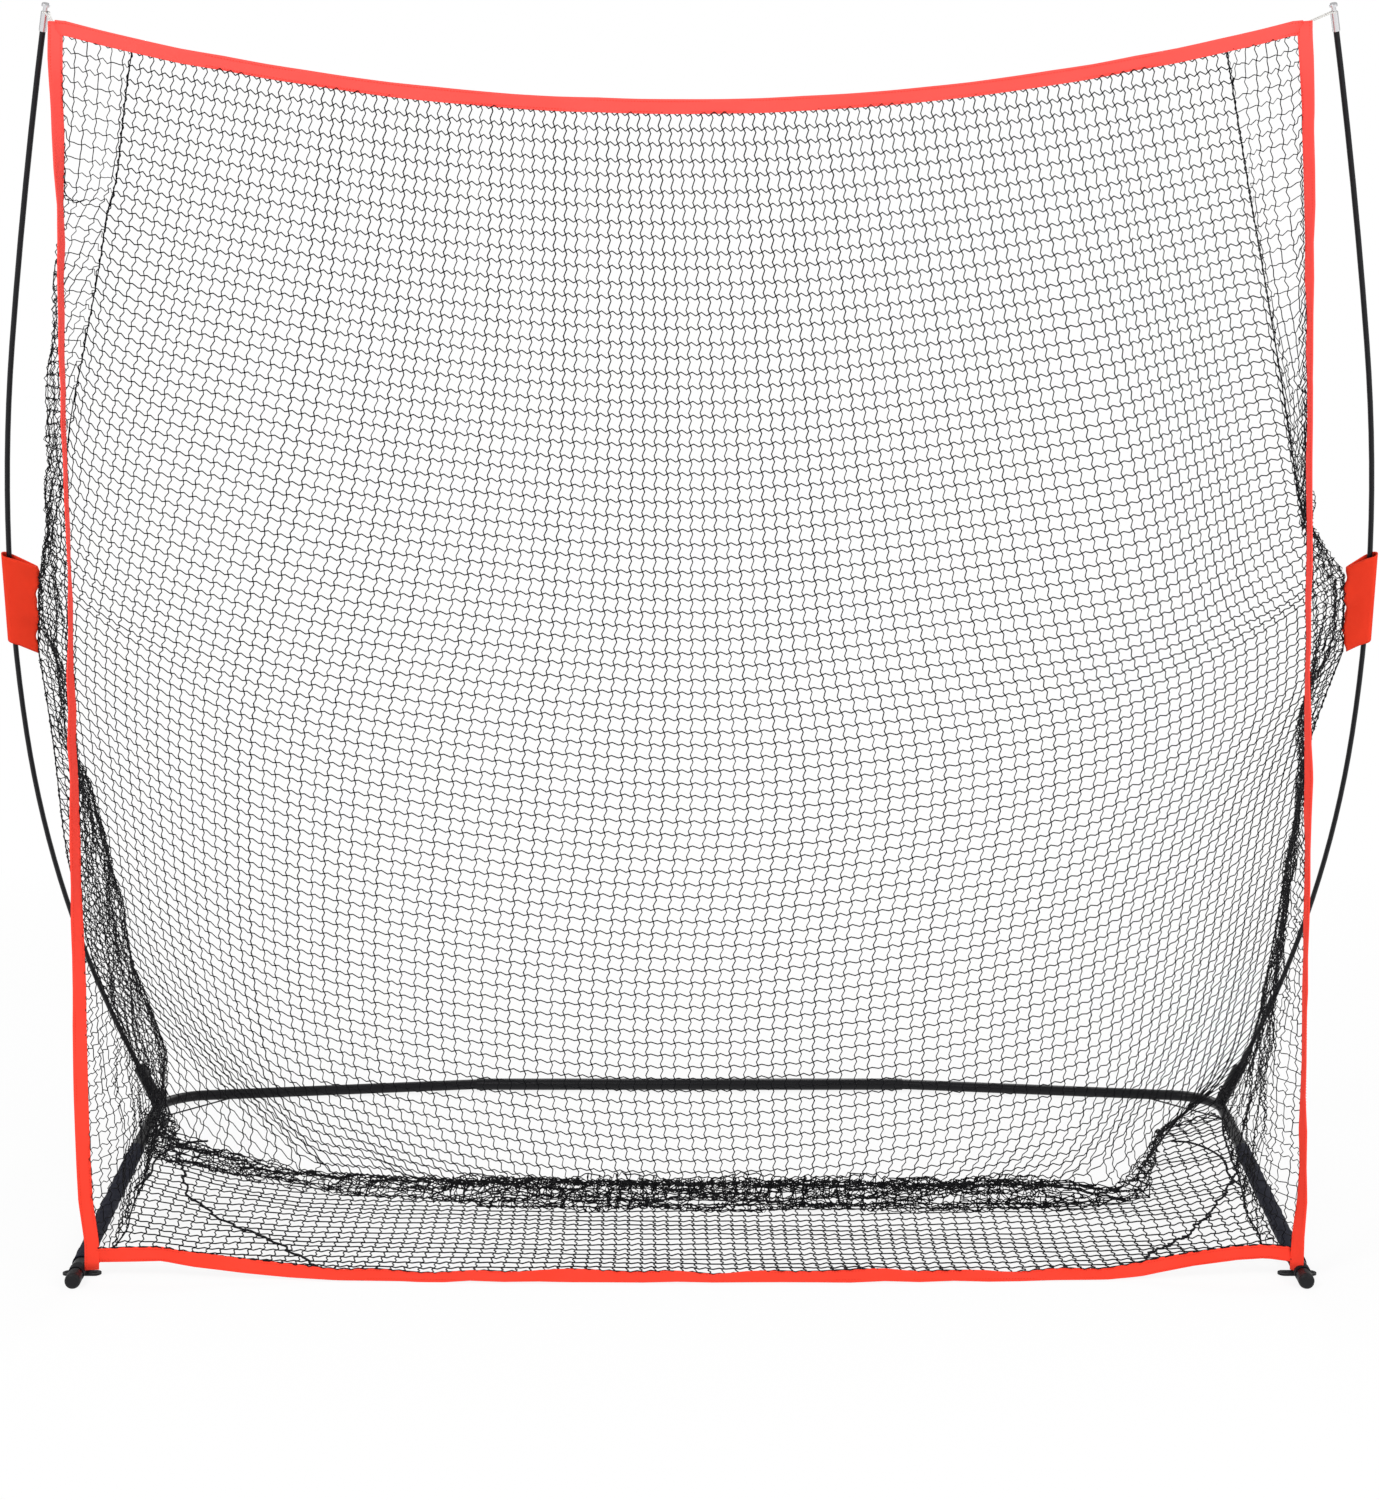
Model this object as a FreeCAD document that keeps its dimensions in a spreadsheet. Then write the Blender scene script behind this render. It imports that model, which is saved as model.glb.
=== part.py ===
import FreeCAD, Part

import math
import os

import Sketcher

from FreeCAD import Placement, Rotation, Vector

# Practice net on a bow frame: a U-shaped tube base lies on the floor, two bent
# poles rise from its rear corners, and a hemmed net hangs between the pole tips
# and the front feet. Millimetres. X to the right, Y to the back, Z up. The origin
# is on the floor in the middle of the base. Left and right are as seen from the
# front. Every sub-part is built once per side with side = -1 (left) or 1 (right).

SIZES = [
    # Base plan, measured along the tube centre lines
    ("base_depth", 1256.0, "foot nose to the back of the cross tube"),
    ("cross_half_span", 478.0, "half length of the centre cross tube"),
    ("corner_half_span", 1163.0, "outer run and side run meet here"),
    ("rear_angle", 8.5, "degrees, outer run against the cross tube"),
    ("splay_angle", 4.9, "degrees, side tube against straight ahead"),
    ("bend_radius", 100.0, "corner bend, on the centre line"),
    ("kink_radius", 60.0, "small bend beside the cross tube"),
    ("corner_reach", 70.0, "straight end of the corner tube past its bend"),
    ("spigot_length", 60.0, "part of the corner tube inside the next tube"),
    # Tubes
    ("tube_outer", 25.4, "cross and side tube, outside diameter"),
    ("tube_wall", 1.5, "cross and side tube wall"),
    ("corner_outer", 22.0, "corner tube, outside diameter"),
    ("corner_wall", 1.2, "corner tube wall"),
    ("fit_gap", 0.05, "clearance of rigid pieces that seat on each other"),
    # Foot
    ("cap_length", 26.0, "foot cap along the tube"),
    ("cap_wall", 1.1, "foot cap wall round the tube"),
    ("cap_nose", 12.0, "solid nose in front of the tube end"),
    ("cap_round", 7.0, "rounding of the nose"),
    ("tab_setback", 74.0, "stake tabs behind the nose"),
    ("tab_width", 22.0, "stake tab, front to back"),
    ("tab_thickness", 3.0, "stake tab"),
    ("tab_height", 1.0, "stake tab underside above the floor"),
    ("tab_inner_reach", 39.0, "inner tab tip from the tube axis"),
    ("tab_outer_reach", 29.0, "outer tab tip from the tube axis"),
    ("slot_spacing", 47.0, "distance between the two slot centres"),
    ("slot_length", 11.0, "stake slot, end to end"),
    ("slot_width", 5.0, "stake slot"),
    ("slot_offset", 3.5, "middle of the two slots, inward of the tube's axis"),
    # Brace rod across the corner
    ("brace_outer", 3.2, "brace rod diameter"),
    ("brace_height", 3.2, "brace rod axis above the floor"),
    ("brace_rear", 145.0, "brace end on the outer run, from the corner point"),
    ("brace_front", 138.0, "brace end on the side run, from the corner point"),
    # Snap buttons
    ("button_outer", 6.0, "snap button diameter"),
    ("button_gap", 0.1, "running clearance of the button in its hole"),
    ("button_stand", 3.0, "button above the outer tube"),
    ("button_inset", 30.0, "button from the end of the outer tube"),
    ("button_flange", 9.0, "flange diameter inside the tube"),
    ("button_flange_height", 1.1, "flange thickness"),
    ("spring_width", 8.0, "leaf spring"),
    ("spring_leaf", 0.8, "leaf spring thickness"),
    ("spring_length", 45.0, "leaf spring along the tube"),
    ("spring_fold", 5.0, "flat end of the leaf, either side of the button's axis"),
    ("spring_play", 0.2, "leaf and flange off what they bear on"),
    # Poles
    ("socket_turn", 70.0, "degrees round the bend to the pole socket"),
    ("bow_tilt", 25.35, "degrees, bow plane leans forward"),
    ("bow_lean", 17.1, "degrees, pole leans outward in the bow plane"),
    ("pole_outer", 10.0, "pole diameter"),
    ("socket_outer", 26.0, "pole socket outside diameter"),
    ("socket_wall", 1.5, "pole socket wall"),
    ("socket_length", 106.0, "socket mouth from the tube axis"),
    ("bush_start", 20.0, "bush inner end from the tube axis"),
    ("bush_lip", 3.0, "bush lip on the socket mouth"),
    ("pole_start", 16.0, "pole foot from the tube axis"),
    ("pole_straight", 120.0, "straight part of the pole, from the tube axis"),
    ("bow_low_length", 857.0, "first arc of the pole"),
    ("bow_low_radius", 2833.0, "first arc of the pole"),
    ("bow_mid_length", 845.0, "second arc of the pole"),
    ("bow_mid_radius", 4248.0, "second arc of the pole"),
    ("bow_high_length", 587.0, "third arc, up to the tip ferrule's foot"),
    ("bow_high_radius", 13390.0, "third arc of the pole"),
    ("joint_place", 1275.0, "joint of the two pole lengths, from the tube axis"),
    ("joint_length", 80.0, "joint ferrule"),
    ("joint_wall", 1.5, "joint ferrule wall"),
    ("joint_gap", 0.4, "between the ends of the two pole lengths"),
    ("ferrule_overlap", 30.0, "tip ferrule over the pole end"),
    ("ferrule_head", 3.0, "solid end of the tip ferrule"),
    ("ferrule_wall", 1.5, "tip ferrule wall"),
    ("groove_length", 10.0, "groove between ferrule and cap"),
    ("groove_outer", 8.0, "groove diameter"),
    ("cap_disc_outer", 14.0, "tip cap diameter"),
    ("cap_disc_height", 5.0, "tip cap"),
    ("cap_disc_edge", 1.0, "bevel round the tip cap"),
    # Hem tape round the net's mouth
    ("net_height", 2168.0, "top corner of the hem above the floor"),
    ("net_half_top", 1063.0, "half width at the top corners, outside"),
    ("net_half_bottom", 1066.0, "half width at the bottom corners, outside"),
    ("hem_width", 25.0, "hem tape"),
    ("hem_thickness", 2.4, "hem tape, folded over the net"),
    ("hem_sag", 128.0, "top hem, below the line of its corners"),
    ("hem_top_ahead", 7.0, "top corners, in front of the pole's end"),
    ("hem_bottom_back", 58.5, "bottom corners, behind the foot's nose"),
    ("hem_bow", 30.0, "bottom hem, forward of the line of its corners"),
    ("hem_lean", 62.0, "degrees, bottom hem leans back on the floor"),
    ("hem_climb", 168.0, "bottom hem rises to the side tube over this width"),
    ("side_bow", 40.0, "side hems bow back and outward at mid-height"),
    # Netting panels
    ("net_thickness", 3.0, "netting panel"),
    ("net_pitch", 132.0, "gap to gap in the panels"),
    ("net_strand", 7.0, "strand between gaps in the panels"),
    ("net_seam", 0.5, "between a panel and what it is sewn to"),
    ("net_lift", 7.0, "side panel's lower edge above the line to its rear corner"),
    ("rear_tie_inward", 15.0, "rear corner of the net, inward of the frame's corner point"),
    ("rear_tie_ahead", 139.4, "rear corner of the net, in front of the corner point"),
    ("rear_tie_height", 42.0, "rear corner of the net above the floor"),
    ("pool_half_span", 800.0, "back panel's half width at the floor"),
    ("bend_half_span", 680.0, "back panel's half width where its side folds turn in the most"),
    ("bend_height", 900.0, "where the back panel's side folds turn in, above the floor"),
    ("pool_back", 474.5, "middle of the pooled netting, behind the foot's nose"),
    ("pool_depth", 150.0, "pooled netting, front to back size"),
    ("pool_height", 38.0, "pooled netting above the floor"),
    ("border_outer", 5.0, "border cord diameter"),
    ("border_reach", 838.5, "far end of the border cord, behind the foot's nose"),
    ("border_inward", 136.0, "far end of the border cord, inward of the side tube's axis"),
    # Bow sleeve, tube sleeve, loops and straps
    ("sleeve_length", 190.0, "bow sleeve along the pole"),
    ("sleeve_reach", 68.0, "bow sleeve, pole axis to inner edge"),
    ("sleeve_wall", 1.6, "bow sleeve fabric round the joint ferrule"),
    ("sleeve_tail", 3.2, "bow sleeve thickness at its inner edge"),
    ("soft_gap", 0.3, "clearance of fabric round rigid pieces"),
    ("floor_gap", 0.2, "fabric under a tube stops above the floor"),
    ("wrap_start", 92.0, "tube sleeve front end, from the foot nose"),
    ("wrap_length", 665.0, "tube sleeve"),
    ("wrap_wall", 2.2, "tube sleeve fabric"),
    ("loop_outer", 2.6, "elastic loop cord diameter"),
    ("strap_wall", 1.4, "webbing strap thickness"),
    ("strap_width", 22.0, "webbing strap along the tube"),
    ("strap_setback", 38.0, "webbing strap behind the foot nose"),
    ("tie_outer", 4.0, "cord tie at the pole socket"),
    ("tie_place", 44.0, "cord tie up the socket, from the tube axis"),
]

X_AXIS = Vector(1, 0, 0)
Y_AXIS = Vector(0, 1, 0)
Z_AXIS = Vector(0, 0, 1)
SIDES = {"left": -1, "right": 1}

doc = FreeCAD.newDocument("practice_net")
sheet = doc.addObject("Spreadsheet::Sheet", "sizes")
for row, (alias, value, note) in enumerate(SIZES, start=1):
    sheet.set("A%d" % row, alias)
    sheet.set("B%d" % row, repr(value))
    sheet.setAlias("B%d" % row, alias)
    sheet.set("C%d" % row, note)
doc.recompute()

parts = {}


def size(alias):
    """One driving size, read from the sheet."""
    return float(sheet.get(alias))


def keep(label, thing):
    """Name a finished sub-part."""
    thing.Label = label
    parts[label] = thing
    return thing


def unit(angle_deg):
    """Plan direction at an angle from +X."""
    angle = math.radians(angle_deg)
    return Vector(math.cos(angle), math.sin(angle), 0)


def frame_at(origin, x_dir, z_dir):
    """Placement whose local X and Z point along the given directions."""
    return Placement(origin, Rotation(x_dir, z_dir.cross(x_dir), z_dir, "XZY"))


def along(origin, z_dir, x_hint=X_AXIS):
    """Placement whose local Z points along z_dir."""
    x_dir = (x_hint - z_dir * x_hint.dot(z_dir)).normalize()
    return Placement(origin, Rotation(x_dir, z_dir.cross(x_dir), z_dir, "ZXY"))


# Parametric building blocks

TINY = 1e-4


def cylinder(radius_expr, height, placement):
    """A cylinder along the placement's Z. Its radius is bound to the sheet, and its
    height is an expression too, or a length worked out from the sheet."""
    thing = doc.addObject("Part::Cylinder", "rod")
    thing.setExpression("Radius", radius_expr)
    if isinstance(height, str):
        thing.setExpression("Height", height)
    else:
        thing.Height = height
    thing.Placement = placement
    return thing


def cut(base, tool):
    thing = doc.addObject("Part::Cut", "cut")
    thing.Base = base
    thing.Tool = tool
    return thing


def fuse(base, tool):
    thing = doc.addObject("Part::Fuse", "fuse")
    thing.Base = base
    thing.Tool = tool
    return thing


def cut_all(base, tools):
    for tool in tools:
        base = cut(base, tool)
    return base


def tube(outer_radius, inner_radius, height, placement):
    """A straight tube bound to the sheet."""
    return cut(cylinder(outer_radius, height, placement),
               cylinder(inner_radius, height, placement))


def origin_plane(body, role):
    return next(item for item in body.Origin.OriginFeatures if item.Role == role)


def new_sketch(body, role, name):
    sketch = body.newObject("Sketcher::SketchObject", name)
    sketch.AttachmentSupport = [(origin_plane(body, role), "")]
    sketch.MapMode = "FlatFace"
    return sketch


def circle_in(sketch, diameter_expr):
    """A circle about the sketch origin, its diameter bound to the sheet."""
    index = sketch.addGeometry(Part.Circle(Vector(), Z_AXIS, 5.0), False)
    sketch.addConstraint(Sketcher.Constraint("Coincident", index, 3, -1, 1))
    where = sketch.addConstraint(Sketcher.Constraint("Diameter", index, 10.0))
    sketch.setExpression("Constraints[%d]" % where, diameter_expr)


def run_edges(runs):
    """Edges in the XY plane from the origin along +X: straight runs and tangent
    arcs. A run is (length, radius): radius 0 is straight, and a positive radius
    turns to the left, a negative one to the right."""
    point = Vector()
    heading = 0.0
    edges = []
    for length, radius in runs:
        if radius == 0:
            target = point + unit(heading) * length
            edges.append(Part.LineSegment(point, target))
        else:
            turn = math.degrees(length / radius)
            centre = point + unit(heading + 90) * radius
            middle = centre - unit(heading + 90 + turn / 2) * radius
            target = centre - unit(heading + 90 + turn) * radius
            edges.append(Part.Arc(point, middle, target))
            heading += turn
        point = target
    return edges, point, heading


def cut_runs(runs, start, finish):
    """The part of a chain of runs between two distances along it."""
    out = []
    done = 0.0
    for length, radius in runs:
        low = max(start, done)
        high = min(finish, done + length)
        if high - low > TINY:
            out.append((high - low, radius))
        done += length
    return out


def run_place(runs, distance):
    """Local point and heading at a distance along a chain of runs."""
    if distance <= 0:
        return Vector(), 0.0
    edges, point, heading = run_edges(cut_runs(runs, 0.0, distance))
    return point, heading


def bent_rod(runs, outer_expr, inner_expr, placement):
    """A rod or tube swept along runs, as a body with a path and a section."""
    body = doc.addObject("PartDesign::Body", "bent")
    path = new_sketch(body, "XY_Plane", "path")
    edges, point, heading = run_edges(runs)
    for edge in edges:
        path.addGeometry(edge, False)
    section = new_sketch(body, "YZ_Plane", "section")
    circle_in(section, outer_expr)
    if inner_expr:
        circle_in(section, inner_expr)
    pipe = body.newObject("PartDesign::AdditivePipe", "pipe")
    pipe.Profile = section
    pipe.Spine = (path, ["Edge%d" % (i + 1) for i in range(len(edges))])
    body.Tip = pipe
    body.Placement = placement
    return body


def revolved(points, placement):
    """A body turned about its local Z from an outline of (radius, height)."""
    body = doc.addObject("PartDesign::Body", "turned")
    sketch = new_sketch(body, "XZ_Plane", "outline")
    for here, there in zip(points, points[1:] + points[:1]):
        sketch.addGeometry(Part.LineSegment(Vector(*here, 0), Vector(*there, 0)), False)
    turn = body.newObject("PartDesign::Revolution", "turn")
    turn.Profile = sketch
    turn.ReferenceAxis = (sketch, ["V_Axis"])
    turn.Angle = 360.0
    body.Tip = turn
    body.Placement = placement
    return body


def solid_part(label, shape):
    """A soft sub-part whose shape is worked out from the sizes."""
    thing = doc.addObject("Part::Feature", label)
    thing.Shape = shape
    return keep(label, thing)


# Base plan in the middle plane of the tubes

TUBE_RADIUS = size("tube_outer") / 2
AXIS_HEIGHT = TUBE_RADIUS
REAR_Y = (size("base_depth") - size("button_stand")) / 2 - TUBE_RADIUS
NOSE_Y = -(size("base_depth") + size("button_stand")) / 2
CORNER_Y = REAR_Y - (size("corner_half_span") - size("cross_half_span")) * math.tan(
    math.radians(size("rear_angle")))
BEND_TURN = 90.0 - size("rear_angle") + size("splay_angle")
BEND_TANGENT = size("bend_radius") * math.tan(math.radians(BEND_TURN / 2))
KINK_TANGENT = size("kink_radius") * math.tan(math.radians(size("rear_angle") / 2))
OUTER_RUN = (size("corner_half_span") - size("cross_half_span")) / math.cos(
    math.radians(size("rear_angle")))
SIDE_RUN = (CORNER_Y - NOSE_Y) / math.cos(math.radians(size("splay_angle")))


def outer_dir(side):
    """Direction of the outer run, away from the middle."""
    angle = math.radians(size("rear_angle"))
    return Vector(side * math.cos(angle), -math.sin(angle), 0)


def side_dir(side):
    """Direction of the side tube, towards the foot."""
    angle = math.radians(size("splay_angle"))
    return Vector(-side * math.sin(angle), -math.cos(angle), 0)


def corner_point(side):
    return Vector(side * size("corner_half_span"), CORNER_Y, AXIS_HEIGHT)


def nose_point(side):
    return corner_point(side) + side_dir(side) * SIDE_RUN


def behind_nose(side, distance):
    """Point on the side tube's axis, a distance behind the foot's nose."""
    return nose_point(side) - side_dir(side) * distance


SIDE_TUBE_START = BEND_TANGENT + size("corner_reach")
CORNER_RUNS = [
    (size("spigot_length") - KINK_TANGENT, 0),
    (math.radians(size("rear_angle")) * size("kink_radius"), size("kink_radius")),
    (OUTER_RUN - KINK_TANGENT - BEND_TANGENT, 0),
    (math.radians(BEND_TURN) * size("bend_radius"), size("bend_radius")),
    (size("corner_reach") + size("spigot_length"), 0),
]


def corner_runs(side):
    """The corner tube's path: it turns to the right on the right-hand side."""
    return [(length, -side * radius) for length, radius in CORNER_RUNS]


def corner_frame(side):
    start = Vector(side * (size("cross_half_span") - size("spigot_length")), REAR_Y, AXIS_HEIGHT)
    return frame_at(start, X_AXIS * side, Z_AXIS)


# Snap buttons: place and outward direction of each

CROSS_BUTTON_X = size("cross_half_span") - size("button_inset")


def button_sites():
    """Name, point on the tube axis, outward direction and tube direction."""
    sites = []
    for name, side in SIDES.items():
        rear = Vector(side * CROSS_BUTTON_X, REAR_Y, AXIS_HEIGHT)
        sites.append((name + "_rear", rear, Y_AXIS, X_AXIS * -side))
        away = SIDE_TUBE_START + size("button_inset")
        front = corner_point(side) + side_dir(side) * away
        outward = side_dir(side).cross(Z_AXIS) * -side
        sites.append((name + "_side", front, outward, side_dir(side)))
    return sites


def button_hole(point, outward):
    """Tool for the button's hole, out through the wall on one side."""
    return cylinder("sizes.button_outer / 2 + sizes.button_gap", "sizes.tube_outer",
                    along(point, outward, Z_AXIS))


SITES = {name: (point, outward, run) for name, point, outward, run in button_sites()}


# Tubes

OUTER_R = "sizes.tube_outer / 2"
INNER_R = "sizes.tube_outer / 2 - sizes.tube_wall"


def build_cross_tube():
    start = Vector(-size("cross_half_span"), REAR_Y, AXIS_HEIGHT)
    body = tube(OUTER_R, INNER_R, "2 * sizes.cross_half_span", along(start, X_AXIS, Z_AXIS))
    holes = [button_hole(*SITES[name + "_rear"][:2]) for name in SIDES]
    keep("centre_cross_tube", cut_all(body, holes))


def build_corner_tube(name, side):
    body = bent_rod(corner_runs(side), "sizes.corner_outer",
                    "sizes.corner_outer - 2 * sizes.corner_wall", corner_frame(side))
    holes = [button_hole(*SITES[name + where][:2]) for where in ("_rear", "_side")]
    keep(name + "_corner_tube", cut_all(body, holes))


def build_side_tube(name, side):
    start = corner_point(side) + side_dir(side) * SIDE_TUBE_START
    length = SIDE_RUN - SIDE_TUBE_START - size("cap_nose")
    body = tube(OUTER_R, INNER_R, length, along(start, side_dir(side), Z_AXIS))
    keep(name + "_side_tube", cut(body, button_hole(*SITES[name + "_side"][:2])))


# Feet


def floor_box(top):
    """A large box under the given height, to trim what would pass it."""
    reach = size("base_depth")
    box = doc.addObject("Part::Box", "under")
    box.Length = 4 * reach
    box.Width = 4 * reach
    box.Height = reach
    box.Placement.Base = Vector(-2 * reach, -2 * reach, top - reach)
    return box


def build_foot_cap(name, side):
    """Moulded cap over the tube's end, with a solid rounded nose."""
    bore = TUBE_RADIUS + size("fit_gap")
    rim = TUBE_RADIUS + size("cap_wall")
    length = size("cap_length")
    face = size("cap_nose") - size("fit_gap")
    rounding = size("cap_round")
    arc = [(rim - rounding * (1 - math.cos(a)), rounding * (1 - math.sin(a)))
           for a in (math.radians(step) for step in (0, 30, 60, 90))]
    outline = [(0.0, 0.0)] + arc[::-1] + [(rim, length), (bore, length), (bore, face), (0.0, face)]
    cap = revolved(outline, along(nose_point(side), side_dir(side) * -1, Z_AXIS))
    keep(name + "_foot_cap", cut(cap, floor_box(0.0)))


def slot_outline(sketch, x, width, length):
    """A slot along local X with round ends."""
    radius = width / 2
    reach = length / 2 - radius
    corners = [Vector(x - reach, -radius, 0), Vector(x + reach, -radius, 0),
               Vector(x + reach, radius, 0), Vector(x - reach, radius, 0)]
    sketch.addGeometry(Part.LineSegment(corners[0], corners[1]), False)
    sketch.addGeometry(Part.Arc(corners[1], Vector(x + reach + radius, 0, 0), corners[2]), False)
    sketch.addGeometry(Part.LineSegment(corners[2], corners[3]), False)
    sketch.addGeometry(Part.Arc(corners[3], Vector(x - reach - radius, 0, 0), corners[0]), False)


def build_stake_tabs(name, side):
    """A flat plate with two slots, parted by the tube that it is welded to."""
    inner = size("tab_inner_reach")
    outer = size("tab_outer_reach")
    middle = behind_nose(side, size("tab_setback"))
    body = doc.addObject("PartDesign::Body", "tabs")
    plate = new_sketch(body, "XY_Plane", "plate")
    slot_outline(plate, (outer - inner) / 2 * side, size("tab_width"), inner + outer)
    for step in (-1, 1):
        slot_outline(plate, (step * size("slot_spacing") / 2 - size("slot_offset")) * side,
                     size("slot_width"), size("slot_length"))
    pad = body.newObject("PartDesign::Pad", "pad")
    pad.Profile = plate
    pad.setExpression("Length", "sizes.tab_thickness")
    body.Tip = pad
    body.Placement = Placement(Vector(middle.x, middle.y, size("tab_height")), Rotation())
    start = behind_nose(side, size("tab_setback") + 2 * size("tab_width"))
    clear = cylinder("sizes.tube_outer / 2 + sizes.fit_gap", "4 * sizes.tab_width",
                     along(start, side_dir(side), Z_AXIS))
    keep(name + "_stake_tabs", cut(body, clear))


def build_brace(name, side):
    """Thin rod across the inside of the corner, from run to run."""
    low = Vector(0, 0, size("brace_height") - AXIS_HEIGHT)
    rear = corner_point(side) - outer_dir(side) * size("brace_rear") + low
    front = corner_point(side) + side_dir(side) * size("brace_front") + low
    reach = front - rear
    rod = cylinder("sizes.brace_outer / 2", reach.Length, along(rear, reach.normalize()))
    clear = "sizes.corner_outer / 2 + sizes.fit_gap"
    back = cylinder(clear, OUTER_RUN - BEND_TANGENT,
                    along(corner_point(side) - outer_dir(side) * OUTER_RUN, outer_dir(side), Z_AXIS))
    ahead = cylinder(clear, "2 * sizes.corner_reach",
                     along(corner_point(side) + side_dir(side) * BEND_TANGENT, side_dir(side), Z_AXIS))
    keep(name + "_corner_brace", cut_all(rod, [back, ahead]))


# Snap buttons and their leaf springs

# Button's domed top: shares of its radius, out from the axis and down from the top
BUTTON_DOME = [(1.0, 0.5), (0.8, 0.175), (0.4, 0.0), (0.0, 0.0)]


def build_button(name):
    """A headed pin with a domed top and a flange inside the corner tube."""
    point, outward, run = SITES[name]
    radius = size("button_outer") / 2
    flange = size("button_flange") / 2
    inner = size("corner_outer") / 2 - size("corner_wall")
    shelf = math.sqrt(inner ** 2 - flange ** 2) - size("spring_play")
    foot = shelf - size("button_flange_height")
    top = TUBE_RADIUS + size("button_stand")
    outline = [(0.0, foot), (flange, foot), (flange, shelf), (radius, shelf)]
    outline += [(radius * out, top - radius * down) for out, down in BUTTON_DOME]
    keep(name + "_snap_button", revolved(outline, along(point, outward, run)))
    return foot


def build_spring(name, foot):
    """A leaf folded into a V between the button and the far tube wall."""
    point, outward, run = SITES[name]
    leaf = size("spring_leaf")
    half = size("spring_width") / 2
    inner = size("corner_outer") / 2 - size("corner_wall")
    top = foot - size("spring_play")
    low = -math.sqrt(inner ** 2 - half ** 2) + size("spring_play")
    middle = (top + low) / 2
    length = size("spring_length")
    fold = size("spring_fold")
    outline = [(-fold, top), (fold, top), (length, middle + leaf), (length, middle - leaf),
               (fold, low), (-fold, low), (-fold, low + leaf), (fold, low + leaf),
               (length - 3 * leaf, middle), (fold, top - leaf), (-fold, top - leaf)]
    body = doc.addObject("PartDesign::Body", "spring")
    sketch = new_sketch(body, "XZ_Plane", "leaf")
    for here, there in zip(outline, outline[1:] + outline[:1]):
        sketch.addGeometry(Part.LineSegment(Vector(*here, 0), Vector(*there, 0)), False)
    pad = body.newObject("PartDesign::Pad", "pad")
    pad.Profile = sketch
    pad.Midplane = True
    pad.setExpression("Length", "sizes.spring_width")
    body.Tip = pad
    body.Placement = frame_at(point, run, outward)
    keep(name + "_button_spring", body)


# Bow poles: a planar curve in a plane that leans forward. The pole's end is where
# the tip ferrule starts, and the rod runs on inside the ferrule.

POLE_RUNS = [
    (size("pole_straight"), 0),
    (size("bow_low_length"), size("bow_low_radius")),
    (size("bow_mid_length"), size("bow_mid_radius")),
    (size("bow_high_length") + size("ferrule_overlap"), size("bow_high_radius")),
]
POLE_END = sum(length for length, radius in POLE_RUNS) - size("ferrule_overlap")


def bow_axes(side):
    """Outward and upward directions of the bow plane."""
    tilt = math.radians(size("bow_tilt"))
    return Vector(side, 0, 0), Vector(0, -math.sin(tilt), math.cos(tilt))


def bend_centre(side):
    """Middle of the corner bend's arc."""
    entry = corner_point(side) - outer_dir(side) * BEND_TANGENT
    inward = Vector(-side * math.sin(math.radians(size("rear_angle"))),
                    -math.cos(math.radians(size("rear_angle"))), 0)
    return entry + inward * size("bend_radius")


def pole_foot(side):
    """Point on the bend's centre line where the pole's axis starts."""
    spoke = math.radians(90.0 - size("rear_angle") - size("socket_turn"))
    outward = Vector(side * math.cos(spoke), math.sin(spoke), 0)
    return bend_centre(side) + outward * size("bend_radius")


def pole_frame(side):
    """Local X along the pole's foot, local Z square to the bow plane."""
    across, up = bow_axes(side)
    lean = math.radians(size("bow_lean"))
    start = across * math.sin(lean) + up * math.cos(lean)
    return frame_at(pole_foot(side), start, across.cross(up))


def pole_place(side, distance):
    """Placement on the pole's axis, local X along it."""
    point, heading = run_place(POLE_RUNS, distance)
    return pole_frame(side).multiply(Placement(point, Rotation(Z_AXIS, heading)))


def pole_axis_place(side, distance):
    """Placement on the pole's axis, local Z along it and local X inward."""
    return pole_place(side, distance).multiply(
        Placement(Vector(), Rotation(Y_AXIS, Z_AXIS, X_AXIS, "ZXY")))


def pole_piece(side, start, finish, outer_expr, inner_expr=None):
    """A rod or tube that follows the pole between two distances along it."""
    return bent_rod(cut_runs(POLE_RUNS, start, finish), outer_expr, inner_expr,
                    pole_place(side, start))


def bend_envelope(side):
    """Round ring that holds the corner bend, to cope what is welded on it."""
    ring = doc.addObject("Part::Torus", "bend")
    ring.setExpression("Radius1", "sizes.bend_radius")
    ring.setExpression("Radius2", "sizes.corner_outer / 2 + sizes.fit_gap")
    ring.Placement.Base = bend_centre(side)
    return ring


def build_socket(name, side):
    axis = pole_axis_place(side, 0.0)
    shell = tube("sizes.socket_outer / 2", "sizes.socket_outer / 2 - sizes.socket_wall",
                 "sizes.socket_length", axis)
    keep(name + "_pole_socket", cut(shell, bend_envelope(side)))


def build_bush(name, side):
    """Plastic bush in the socket, with a lip on its mouth."""
    bore = size("pole_outer") / 2 + size("fit_gap")
    outer = size("socket_outer") / 2 - size("socket_wall") - size("fit_gap")
    lip = size("socket_outer") / 2
    mouth = size("socket_length") + size("fit_gap")
    outline = [(bore, size("bush_start")), (outer, size("bush_start")), (outer, mouth),
               (lip, mouth), (lip, mouth + size("bush_lip")), (bore, mouth + size("bush_lip"))]
    keep(name + "_socket_bush", revolved(outline, pole_axis_place(side, 0.0)))


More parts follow.
